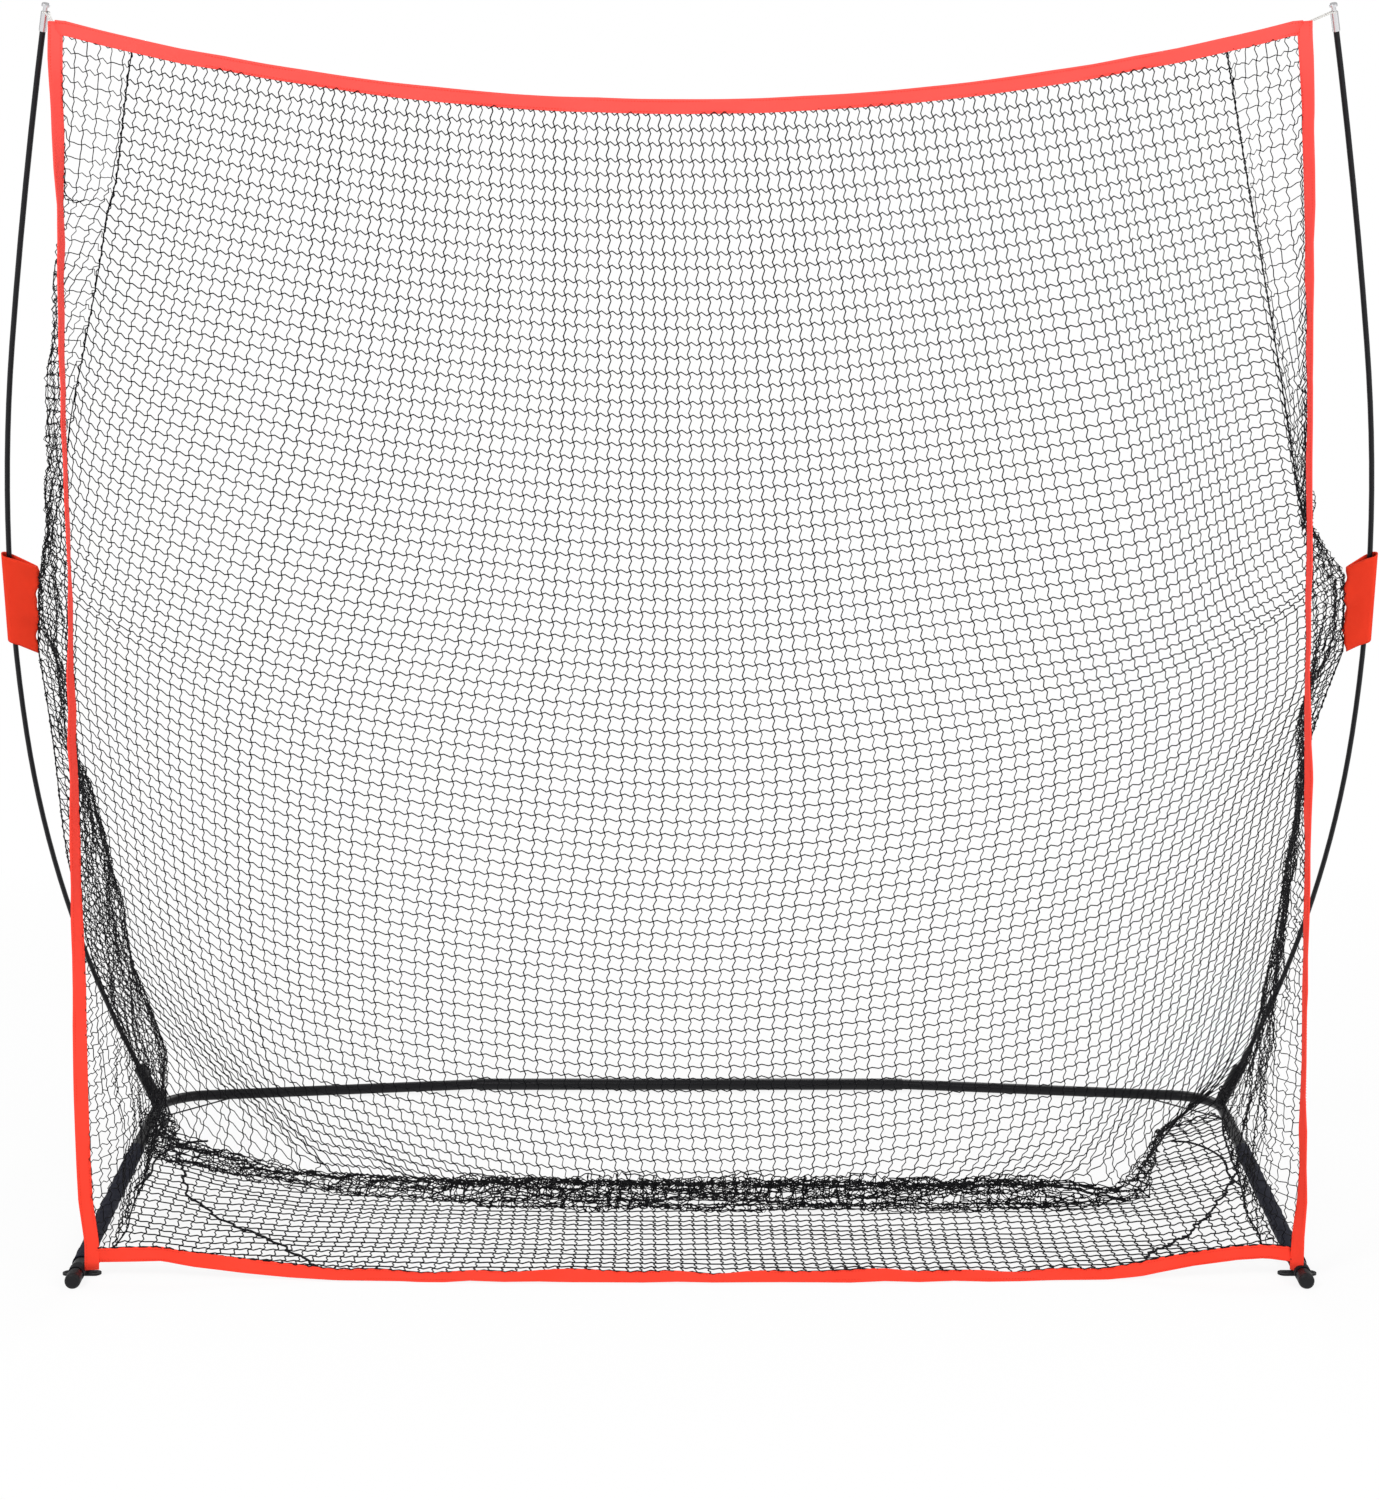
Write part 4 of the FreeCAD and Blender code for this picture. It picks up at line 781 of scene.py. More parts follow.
# %% The side nets' grids
# Height, and three places (across, back) that the side net passes on its way from
# the hem to the pole: beside the hem, half way, and where it turns out again
SIDE_WAY = {
    -1: [
        (0.00, 1.024, -0.46, 1.046, -0.16, 1.085, 0.20), (0.10, 1.016, -0.46, 1.036, -0.16, 1.092, 0.23),
        (0.20, 1.012, -0.46, 1.032, -0.15, 1.098, 0.24), (0.42, 1.040, -0.42, 1.080, -0.15, 1.131, 0.10),
        (0.65, 1.068, -0.38, 1.115, -0.13, 1.164, 0.05), (0.78, 1.088, -0.38, 1.140, -0.16, 1.190, 0.01),
        (0.90, 1.100, -0.42, 1.158, -0.24, 1.215, -0.08)],
    1: [
        (0.00, 1.024, -0.46, 1.046, -0.16, 1.085, 0.20), (0.10, 1.022, -0.46, 1.050, -0.16, 1.105, 0.17),
        (0.20, 1.030, -0.45, 1.076, -0.16, 1.136, 0.10), (0.42, 1.058, -0.41, 1.114, -0.18, 1.162, 0.02),
        (0.65, 1.078, -0.39, 1.134, -0.21, 1.176, -0.06), (0.86, 1.095, -0.40, 1.150, -0.24, 1.190, -0.10)],
}
SIDE_PARTS = (0.18, 0.5, 0.8)
# Height, and how far the net bellies outward above the sleeve
SIDE_BELLY = {
    -1: [(1.02, 0.0), (1.15, 0.008), (1.35, 0.024), (1.55, 0.038), (1.75, 0.038), (1.95, 0.022),
         (2.08, 0.0)],
    1: [(1.02, 0.0), (1.12, 0.012), (1.20, 0.010), (1.30, 0.0), (2.08, 0.0)],
}
# Height, and how far the right net's edge leaves the straight fold there: across,
# back and down
GATHERED = [(1.20, 0.0, 0.0, 0.0), (1.24, 0.014, 0.006, 0.008), (1.28, 0.029, 0.014, 0.020),
            (1.32, 0.038, 0.024, 0.034), (1.38, 0.046, 0.034, 0.048)]
SIDE_AT_TOP = 0.135
# Below the first height the floor net carries the knots too; below the second, which
# differs from side to side, they stay where the tables put them
LOW_BELOW = 0.95
PLACED_BELOW = {-1: 1.9, 1: 1.36}


def side_line(seam, fold, side):
    """The way of one row of the side net, as a smooth line."""
    height = (seam[2] + fold[2]) / 2
    if side > 0:
        fold = fold - read(GATHERED, height)
    loose = float(np.interp(height, (LOW_BELOW, 1.10), (0.0, 1.0)))
    way = read(SIDE_WAY[side], height)
    places = [seam]
    for number, share in enumerate(SIDE_PARTS):
        straight = seam * (1 - share) + fold * share
        across, back = way[2 * number:2 * number + 2]
        places.append(straight * loose + np.array([side * across, back, straight[2]]) * (1 - loose))
    line = rounded([*places, fold], 60)
    line[:, 0] += side * read(SIDE_BELLY[side], height)[0] * np.sin(np.linspace(0, math.pi, 60)) ** 0.8
    return line


def side_grid(side):
    """Knot numbers of one side net, by row and by column from the hem."""
    fold = folds[side]
    fold_knots = back_grid[:, FOLD_COLUMN[side]]
    seams = [upright_seam(1 - row / FOLD_ROWS, side) for row in range(FOLD_ROWS + 1)]
    lines = [side_line(seam, end, side) for seam, end in zip(seams, fold)]
    wide = np.array([max(lengths_along(line)[-1] + 0.004, SIDE_AT_TOP) for line in lines])
    columns = ((wide - 0.006) // BAR).astype(int)
    grid = -np.ones((FOLD_ROWS + 1, columns.max() + 1), int)
    for row, line in enumerate(lines):
        shares = np.arange(columns[row] + 1) * BAR / wide[row]
        low = seams[row][2] < LOW_BELOW
        shaped = low or (row > 0 and seams[row][2] < PLACED_BELOW[side])
        for column, place in enumerate(spaced(line, shares)):
            if row == 0:
                reach = (HALF_MOUTH_TOP - FOLD_START) * shares[column]
                place = top_seam(side * (HALF_MOUTH_TOP - reach))
            if shaped and column:
                calm = min(1.0, column / 4, (columns[row] + 1 - column) / 4)
                place[0] += 0.007 * calm * rolling(column, row * 0.5, 0)
                place[2] += 0.003 * calm * rolling(column, row, 1)
            if low:
                level = floor_surface(place[0], place[1]) * min(1.0, column / 3)
                place[2] = max(place[2], level + 0.002)
            grid[row, column] = net.knot(place, column == 0 or row == 0 or shaped)
    net.grid_bars(grid)
    ends = [(grid[row, columns[row]], fold_knots[row]) for row in range(FOLD_ROWS + 1)]
    net.bars(ends, np.maximum(wide - columns * BAR, 0.004))
    return grid


side_grids = {side: side_grid(side) for side in SIDES}
print("knots in all", len(net.knots))

# %% Let the net hang
net.settle(1200)
for a, b, full in net.groups[:4]:
    share = np.linalg.norm(net.knots[a] - net.knots[b], axis=1) / full
    print("bars, longest share of their length", round(float(np.percentile(share, 99)), 3))

# %% [markdown]
# ## The heap on the floor
# The net is longer than it needs to be, and the spare rows lie in a heap where the
# back net comes down. Each column folds to and fro from the crest to the floor,
# and a seeded shake keeps the folds from lining up.

# %% The heap's rows
# Place across, rows in the heap, half its depth and its height
HEAP = [(-1.2, 8, 0.022, 0.024), (-1.08, 13, 0.042, 0.046), (-1.02, 17, 0.052, 0.052),
        (-0.94, 16, 0.050, 0.042), (-0.86, 14, 0.048, 0.034), (-0.50, 16, 0.056, 0.036),
        (-0.38, 24, 0.078, 0.054), (0.60, 25, 0.080, 0.056), (0.72, 23, 0.070, 0.050),
        (0.80, 17, 0.050, 0.038), (0.88, 9, 0.028, 0.024), (0.95, 5, 0.014, 0.014),
        (1.2, 3, 0.010, 0.010)]
HEAP_STEP = 0.0185


def heap_column(column):
    """Knots of one column as it folds down to the floor."""
    crest = floors[column]
    rows, half, height = read(HEAP, crest[0])
    before, after = floors[max(column - 1, 0)], floors[min(column + 1, COLUMNS)]
    run = (after - before) / np.linalg.norm(after - before)
    front = np.array([run[1], -run[0], 0.0])
    places = []
    for row in range(1, int(rows) + 1):
        legs = (row * HEAP_STEP / (2 * half) + 0.5) % 2.0
        sway = (1 - 2 * abs(1 - legs)) * half * (0.92 + 0.1 * rolling(column, row * 0.2, 0))
        arch = height * (1 - 0.8 * (sway / half) ** 2) - 0.002
        level = arch * (1 - row / rows) ** 1.3 + 0.003
        place = crest + front * (sway + 0.011 * rolling(column, row, 1))
        place = place + run * 0.010 * rolling(column, row, 2)
        place[2] = min(max(level + 0.009 * rolling(column, row, 0), 0.0022), arch + 0.006)
        places.append(place)
    return places


heap_columns = [heap_column(column) for column in range(COLUMNS + 1)]
print("knots in the heap", sum(len(places) for places in heap_columns))

# %% [markdown]
# ## The net on the floor
# In front of the heap one layer of net lies on the floor, as far as the bottom hem.
# Its edges follow the side nets and the border rope.

# %% The floor net's grid
BORDER = [(1.001, 0.209), (1.036, 0.199), (1.062, 0.163), (1.078, 0.111), (1.080, 0.055),
          (1.071, 0.003), (1.072, -0.049), (1.082, -0.097)]
FLOOR_COLUMNS = 86
FLOOR_BAR = 2 * HALF_FOOT / FLOOR_COLUMNS
# Place behind the middle, and how far out the edge of the floor net lies there
FLOOR_EDGE = [(-0.571, 1.041), (-0.46, 1.037), (-0.16, 1.052), (0.10, 1.076), (0.20, 1.066)]


def heap_front(x):
    """Where the floor net runs under the heap."""
    line = np.array([point[:2] for point in map(np.array, FLOOR_LINE[1 if x > 0 else -1])])
    return float(np.interp(abs(x), np.abs(line[:, 0]), line[:, 1])) - 0.03


floor_knots = {}
for column in range(FLOOR_COLUMNS + 1):
    share = (column - FLOOR_COLUMNS / 2) / (FLOOR_COLUMNS / 2)
    front, wide = bottom_hem_edge(share * FLOOR_EDGE[0][1])
    seam = front + wide * HEM_WIDTH
    slack = 1.10 + 0.10 * max(0.0, abs(share) - 0.45) ** 2
    for row in range(40):
        y = seam[1] + row * BAR * slack + 0.004 * math.sin(3.1 * share + row * 0.5) * min(1.0, row / 3)
        x = share * read(FLOOR_EDGE, y)[0]
        if y <= heap_front(x) and y <= FLOOR_EDGE[-1][0]:
            level = floor_surface(x, y)
            level += (seam[2] - level) * math.exp(-row * 0.55)
            floor_knots[row, column] = askew(np.array([x + 0.003 * math.sin(7.0 * y + 5.0 * x), y, level]))
print("knots on the floor", len(floor_knots))

# %% [markdown]
# ## Twine from knots
# The bars aren't straight: where a bar is longer than the gap between its knots it
# bends into an S, and the slacker it is, the deeper the S. The amount follows from
# the lengths alone. The bars are drawn as bare edges first, and Geometry Nodes turn
# the edges into twine and put a knot on each marked point.


# %% Rows and columns of wire
TUMBLING = np.random.default_rng(23)
# An S bends at these shares of its bar; its least depth, and its most as a share of it
BENDS = (0.27, 0.73)
LEAST_DEEP = 0.0025
MOST_DEEP = 0.2


class Wire:
    """Bare edges and marked knots, which become twine."""

    def __init__(self):
        self.points = []
        self.edges = []
        self.knots = []

    def strand(self, places, sideways, full, knots, tumble):
        """One strand through knots, each bar an S in the direction sideways, turned by chance."""
        start = len(self.points)
        for step, (here, there) in enumerate(zip(places[:-1], places[1:])):
            reach = there - here
            gap = max(float(np.linalg.norm(reach)), 1e-6)
            slack = max(0.0, full / gap - 1.0)
            deep = min(MOST_DEEP * full, max(LEAST_DEEP, gap / (2 * math.pi) * 2 * math.sqrt(slack)))
            side = (sideways[step] + sideways[step + 1]) / 2
            side = side - reach * (side.dot(reach) / gap ** 2)
            side = side / max(float(np.linalg.norm(side)), 1e-6) * deep
            turn = TUMBLING.uniform(-tumble, tumble)
            side = side * math.cos(turn) + np.cross(reach / gap, side) * math.sin(turn)
            self.points += [here, here + reach * BENDS[0] + side, here + reach * BENDS[1] - side]
        self.points.append(places[-1])
        self.edges += [(n, n + 1) for n in range(start, len(self.points) - 1)]
        flags = [False] * (len(self.points) - start)
        if knots:
            flags[::3] = [True] * len(flags[::3])
        self.knots += flags

    def add(self, other):
        """Take in another wire."""
        start = len(self.points)
        self.points += other.points
        self.edges += [(a + start, b + start) for a, b in other.edges]
        self.knots += other.knots


AREA_LIMITS = (0.301, 0.999)


def twine_area(wire, flat, radius):
    """Area of the twine when it lies flat, brought within the limits. Four of the five
    strips and both side nets get the lower limit, which is 1.4 times a side net's twine."""
    points = np.array(wire.points)
    ends = np.array(wire.edges)
    length = np.linalg.norm(points[ends[:, 0]] - points[ends[:, 1]], axis=1).sum()
    girth = 4 * math.sqrt(2) * radius
    low, high = (share * flat[0] * flat[1] for share in AREA_LIMITS)
    return float(np.clip(length * girth / 2, low, high))


def wire_net(cells, full, tumble=0.4):
    """Wire from a dictionary of (row, column): place."""
    wire = Wire()

    def slope(key, step):
        back = cells.get((key[0] - step[0], key[1] - step[1]))
        ahead = cells.get((key[0] + step[0], key[1] + step[1]))
        here = cells[key]
        return (here if ahead is None else ahead) - (here if back is None else back)

    for way, other, knots in (((0, 1), (-1, 0), True), ((1, 0), (0, 1), False)):
        for key in sorted(cells):
            if (key[0] - way[0], key[1] - way[1]) in cells:
                continue
            chain = []
            while key in cells:
                chain.append(key)
                key = (key[0] + way[0], key[1] + way[1])
            if len(chain) > 1:
                sideways = [slope(k, other) for k in chain]
                sideways = [way_out if way_out.any() else np.array([0, 0, 0.01]) for way_out in sideways]
                wire.strand([cells[k] for k in chain], sideways, full, knots, tumble)
    return wire


# %% Geometry Nodes trees from tables
def socket_of(sockets, label):
    """A socket by its name, or by its number where several share a name."""
    return sockets[int(label) if label.isdigit() else label]


def new_tree(name, inputs, nodes, settings, values, links):
    """A tree from tables. A link reads "node.socket > node.socket"."""
    tree = bpy.data.node_groups.new(name, "GeometryNodeTree")
    face = tree.interface
    face.new_socket("Geometry", in_out="INPUT", socket_type="NodeSocketGeometry")
    for label, value in inputs.items():
        kind = "NodeSocketInt" if isinstance(value, int) else "NodeSocketFloat"
        face.new_socket(label, in_out="INPUT", socket_type=kind).default_value = value
    face.new_socket("Finish", in_out="INPUT", socket_type="NodeSocketMaterial")
    face.new_socket("Geometry", in_out="OUTPUT", socket_type="NodeSocketGeometry")
    nodes = {"given": "NodeGroupInput", "result": "NodeGroupOutput", **nodes,
             "real": "GeometryNodeRealizeInstances", "paint": "GeometryNodeSetMaterial"}
    made = {label: tree.nodes.new(kind) for label, kind in nodes.items()}
    for label, (setting, value) in settings.items():
        setattr(made[label], setting, value)
    for place, value in values.items():
        label, socket = place.split(".")
        socket_of(made[label].inputs, socket).default_value = value
    links = [*links, "real.Geometry > paint.Geometry", "given.Finish > paint.Material",
             "paint.Geometry > result.Geometry"]
    for link in links:
        (start, out), (end, into) = (part.split(".") for part in link.split(" > "))
        tree.links.new(socket_of(made[start].outputs, out), socket_of(made[end].inputs, into))
    return tree


# %% Edges to twine, points to knots
TWINE_TREE = new_tree(
    "twine",
    inputs={"Twine radius": 0.0008, "Twine sides": 4, "Knot radius": 0.0016, "Seed": 3},
    nodes={"curves": "GeometryNodeMeshToCurve", "section": "GeometryNodeCurvePrimitiveCircle",
           "sweep": "GeometryNodeCurveToMesh", "marked": "GeometryNodeInputNamedAttribute",
           "dots": "GeometryNodeMeshToPoints", "ball": "GeometryNodeMeshUVSphere",
           "spread": "GeometryNodeInstanceOnPoints", "turn": "FunctionNodeRandomValue",
           "both": "GeometryNodeJoinGeometry"},
    settings={"marked": ("data_type", "BOOLEAN"), "turn": ("data_type", "FLOAT_VECTOR")},
    values={"sweep.Fill Caps": True, "marked.Name": "knot", "ball.Segments": 4, "ball.Rings": 2,
            "turn.Max": (math.pi, math.pi, math.pi)},
    links=["given.Geometry > curves.Mesh", "given.Twine sides > section.Resolution",
           "given.Twine radius > section.Radius", "curves.Curve > sweep.Curve",
           "section.Curve > sweep.Profile Curve", "given.Geometry > dots.Mesh",
           "marked.Attribute > dots.Selection", "given.Knot radius > ball.Radius",
           "given.Seed > turn.Seed", "dots.Points > spread.Points", "ball.Mesh > spread.Instance",
           "turn.Value > spread.Rotation", "sweep.Mesh > both.Geometry",
           "spread.Instances > both.Geometry", "both.Geometry > real.Geometry"])
# Radius of the twine. The side nets' strands lie closer, so they're drawn thinner, but
# a radius of 0.80 mm was refused: their measured area fell below 0.7 of the declared.
TWINE = {"back": 0.00112, "side": 0.00085, "floor": 0.00125}


def tree_input(tree, label):
    """The identifier of a named input."""
    return next(item.identifier for item in tree.interface.items_tree
                if item.name == label and item.in_out == "INPUT")


# %% Apply a tree, and keep only the plain mesh
def grown(piece, tree, **values):
    """The piece after a Geometry Nodes tree, as a plain mesh."""
    modifier = piece.modifiers.new("grow", "NODES")
    modifier.node_group = tree
    for label, value in values.items():
        modifier[tree_input(tree, label.replace("_", " "))] = value
    graph = bpy.context.evaluated_depsgraph_get()
    mesh = bpy.data.meshes.new_from_object(piece.evaluated_get(graph))
    piece.modifiers.clear()
    old, piece.data = piece.data, mesh
    bpy.data.meshes.remove(old)
    mesh.name = piece.name
    return piece


def twine_piece(name, wire, radius):
    """A piece of netting from wire."""
    mesh = bpy.data.meshes.new(name)
    mesh.from_pydata([tuple(p) for p in wire.points], wire.edges, [])
    marks = mesh.attributes.new("knot", "BOOLEAN", "POINT")
    marks.data.foreach_set("value", wire.knots)
    piece = linked(name, mesh)
    grown(piece, TWINE_TREE, Finish=TWINE_FINISH, Twine_radius=radius, Knot_radius=radius * 1.7)
    surface = sum(face.area for face in piece.data.polygons)
    print(f"{name:24s} faces {len(piece.data.polygons)} surface {surface:.3f} square metres")
    return piece


# %% The back net in strips, with the heap below it
STRIPS = 5
strips = []
for strip in range(STRIPS):
    first, last = strip * COLUMNS // STRIPS, (strip + 1) * COLUMNS // STRIPS
    cells, heaped = {}, {}
    for column in range(first, last + 1):
        rows = rows_at(column)
        for row in range(rows + 1):
            cells[row, column] = net.knots[back_grid[row, column]]
        heaped[rows, column] = cells[rows, column]
        for row, place in enumerate(heap_columns[column], start=rows + 1):
            heaped[row, column] = place
    wire = wire_net(cells, BAR)
    wire.add(wire_net(heaped, full=BAR * 1.05, tumble=1.5))
    piece = twine_piece(f"back_netting_{strip + 1}", wire, TWINE["back"])
    rows = sum(rows_at(c) + len(heap_columns[c]) for c in range(first, last)) / (last - first)
    strips.append((piece, wire, (last - first) * BAR, rows * BAR))

# %% The side nets, joined to the fold
side_pieces = {}
for side, grid in side_grids.items():
    cells = {(row, column): net.knots[grid[row, column]]
             for row, column in np.argwhere(grid >= 0).tolist()}
    fold = back_grid[:, FOLD_COLUMN[side]]
    for row in range(grid.shape[0]):
        last = int((grid[row] >= 0).sum())
        cells[row, last] = net.knots[fold[row]]
    wire = wire_net(cells, full=BAR * 1.1, tumble=1.4)
    side_pieces[side] = (twine_piece(SIDES[side] + "_side_netting", wire, TWINE["side"]), wire)

# %% The floor net
floor_wire = wire_net(floor_knots, FLOOR_BAR * 1.03)
floor_piece = twine_piece("floor_netting", floor_wire, TWINE["floor"])

# %% Netting rides on the frame
for piece, wire, wide, high in strips:
    on_frame(piece, "netting", "back_net", "pooled_net")
    area = twine_area(wire, (wide, high), TWINE["back"])
for side, (piece, wire) in side_pieces.items():
    name = SIDES[side]
    on_frame(piece, "netting", name + "_side_net", name + "_corner_net")
    knots_here = int((side_grids[side] >= 0).sum())
    flat = (knots_here / FOLD_ROWS * BAR, FOLD_ROWS * BAR)
    area = twine_area(wire, flat, TWINE["side"])
    name + "_hem"
on_frame(floor_piece, "netting", "floor_net")
flat = (FLOOR_COLUMNS * FLOOR_BAR, len(floor_knots) / FLOOR_COLUMNS * BAR)
area = twine_area(floor_wire, flat, TWINE["floor"])
print("netting done")

# %% [markdown]
# ## Hem tape
# The hem is one red tape folded over the net's edge. It turns as it goes: at the
# corners it faces the front, and half way up the net pulls it round until only its
# edge shows. So each tape is a short closed section swept along a line, with its
# own direction at each step, and a small seeded waver.


# %% A tape swept along sections
TAPE_SECTION = [(-0.5, 0.0), (-0.49, 0.35), (-0.44, 0.5), (-0.2, 0.42), (0.0, 0.4), (0.2, 0.42),
                (0.44, 0.5), (0.49, 0.35), (0.5, 0.0), (0.49, -0.35), (0.44, -0.5), (0.2, -0.42),
                (0.0, -0.4), (-0.2, -0.42), (-0.44, -0.5), (-0.49, -0.35)]
TAPE_THICK = 0.0026
# How far the top and bottom tapes run on past the corners
TAPE_PAST = 0.012


def tape(name, sections, seed, waver=0.0008):
    """A flat tape through (centre, width direction, face direction)."""
    rng = np.random.default_rng(seed)
    count = len(sections)
    marks = np.arange(0, count + 4, 4)
    waves = [np.interp(np.arange(count), marks, rng.normal(0, waver, len(marks))) for _ in range(3)]
    points, uvs = [], []
    far = lengths_along(np.array([section[0] for section in sections]))
    for step, (centre, wide, face) in enumerate(sections):
        for across, deep in TAPE_SECTION:
            ripple = waves[0][step] + waves[1][step] * across * 2
            edge = waves[2][step] * 0.6
            points.append(centre + wide * (across * HEM_WIDTH + edge) + face * (deep * TAPE_THICK + ripple))
            uvs.append((far[step], across * HEM_WIDTH))
    return new_piece(name, points, ring_faces(count, len(TAPE_SECTION)), HEM_TAPE, uvs)


# %% Top hem
top_sections = []
for x in np.linspace(-HALF_MOUTH_TOP - TAPE_PAST, HALF_MOUTH_TOP + TAPE_PAST, 121):
    clipped = max(-HALF_MOUTH_TOP, min(HALF_MOUTH_TOP, x))
    centre = askew(top_hem_line(clipped) + np.array([x - clipped, 0, 0]))
    top_sections.append((centre, BACK_UP, unit(np.cross(BACK_UP, (1, 0, 0)))))
on_frame(tape("top_hem_tape", top_sections, seed=2), "hem_tape", "top_hem")

# %% Upright hems
# Height share, and how far the tape is turned from facing the front, in degrees
UPRIGHT_TURN = {
    1: [(0.0, 34), (0.02, 50), (0.08, 75), (0.145, 86), (0.21, 92), (0.31, 84), (0.41, 75),
        (0.48, 84), (0.61, 84), (0.73, 88), (0.84, 65), (0.93, 52), (1.0, 20)],
    -1: [(0.0, 12), (0.08, 18), (0.145, 18), (0.211, 40), (0.3, 52), (0.413, 74), (0.48, 76),
         (0.533, 90), (0.561, 94), (0.614, 92), (0.727, 84), (0.864, 79), (0.94, 48), (1.0, 12)],
}
UPRIGHT_HIGH = 2.12


def upright_sections(side, steps=141):
    """Sections from the foot to the top corner."""
    sections = []
    for share in np.linspace(-0.006, 1.011, steps):
        turn = math.radians(read(UPRIGHT_TURN[side], share)[0])
        inward = np.array([-side * math.cos(turn), math.sin(turn), 0.0])
        inside = min(max(share, 0.0), 1.0)
        edge = upright_seam(inside, side) + np.array([0, 0, (share - inside) * UPRIGHT_HIGH])
        sections.append((edge - inward * HEM_WIDTH / 2, inward, np.cross((0, 0, 1.0), inward)))
    return sections


for side, name in SIDES.items():
    upright = tape(name + "_hem_tape", upright_sections(side), seed=5 + side)
    on_frame(upright, "hem_tape", name + "_hem")

# %% Bottom hem
def bottom_section(x):
    """The tape lies back on the floor, and stands up where it climbs the feet."""
    front, wide = bottom_hem_edge(x)
    return askew(front + wide * HEM_WIDTH / 2), wide, np.cross((1.0, 0, 0), wide)


places = np.linspace(-HALF_FOOT - TAPE_PAST, HALF_FOOT + TAPE_PAST, 141)
bottom_sections = [bottom_section(x) for x in places]
on_frame(tape("bottom_hem_tape", bottom_sections, seed=9, waver=0.0007), "hem_tape", "bottom_hem")
print("hem pieces done")

# %% [markdown]
# ## Sleeves on the poles
# A piece of red cloth is folded round each pole, sewn to itself, and holds the net
# out with its free edge. Seen from the end it is a drop: round at the pole, and two
# layers lying flat on each other towards the net, with an edge that ripples where
# the net pulls at it.


# %% A sleeve from a drop-shaped section
def drop_outline(radius, reach, thick, steps=14):
    """Half turn round the pole, then along the flap and back, closed."""
    slope = math.asin((radius - thick) / reach)
    angles = np.linspace(math.pi / 2 - slope, 3 * math.pi / 2 + slope, steps)
    outline = [(radius * math.cos(a), radius * math.sin(a)) for a in angles]
    low, high = outline[-1], outline[0]
    flap = [(low[0] + (reach - low[0]) * s, low[1] + (-thick - low[1]) * s)
            for s in np.linspace(0.12, 1, 9)]
    back = [(reach + (high[0] - reach) * s, thick + (high[1] - thick) * s)
            for s in np.linspace(0, 0.88, 9)]
    return np.array(outline + flap + back)


SLEEVE_LONG = 0.190
SLEEVE_REACH = 0.068
# From the pole's axis to where the sleeve holds the net
SLEEVE_OUT = 0.0698


def pole_sleeve(name, side, seed):
    """The sleeve's outer and inner skins, closed at both ends."""
    rng = np.random.default_rng(seed)
    up = on_side(POLE_RUN, side)
    inward = np.array([-side, 0.0, 0.0])
    inward = unit(inward - up * inward.dot(up))
    foot = on_side(SLEEVE, side) - inward * SLEEVE_OUT
    deep = np.cross(up, inward)
    outer, inner = drop_outline(0.0098, SLEEVE_REACH, 0.0022), drop_outline(0.0080, 0.0655, 0.0006)
    rows, points, uvs = 41, [], []
    ripple = rng.uniform(0, 6.28, 4)
    for skin in (outer, inner[::-1]):
        round_it = lengths_along(np.array([(*p, 0) for p in skin]))
        for row in range(rows):
            t = row / (rows - 1)
            level = (t - 0.5) * SLEEVE_LONG
            waved = 0.003 * math.sin(3 * t + ripple[0]) * (1 if row in (0, rows - 1) else 0.4)
            wave = 0.0022 * math.sin(9 * t + ripple[0]) + 0.0014 * math.sin(23 * t + ripple[1])
            pull = -0.0028 * math.sin(14 * t + ripple[2]) - 0.0014 * math.sin(37 * t + ripple[3])
            narrow = np.interp(t, (0, 1), SLEEVE_PULL[side])
            for number, (out, across) in enumerate(skin):
                far = max(0.0, (out - 0.012) / 0.056)
                lift = level + 0.009 - 0.023 * out / SLEEVE_REACH + waved * far
                inwards = out - narrow * far + pull * far ** 2
                points.append(foot + up * lift + inward * inwards + deep * (across + wave * far))
                uvs.append((level, round_it[number]))
    return new_piece(name, points, two_skins(rows, len(outer)), SLEEVE_CLOTH, uvs)


for side, name in SIDES.items():
    sleeve = pole_sleeve(name + "_pole_sleeve", side, seed=11 + side)
    on_frame(sleeve, "sleeve_fabric", name + "_bow_sleeve")
    name + "_upper_pole"

# %% [markdown]
# ## Sleeves and straps on the side tubes
# Dark cloth is wrapped round each side tube and sewn shut, so it is a tube a little
# wider than the steel, with shallow creases across it. Where the tube rests on the
# floor the cloth is flat. A short webbing strap holds the hem's corner down.


# %% Cloth round a side tube
SPLAY = math.radians(4.9)
TUBE_RADIUS = 0.0127
UP = np.array([0, 0, 1.0])
COVER_LONG = 0.665
NOSE = np.array([1.0652, -0.6295, TUBE_RADIUS])


def side_tube_point(side, behind):
    """A point on the side tube's axis, behind the foot's nose."""
    return on_side(NOSE + np.array([math.sin(SPLAY), math.cos(SPLAY), 0.0]) * behind, side)


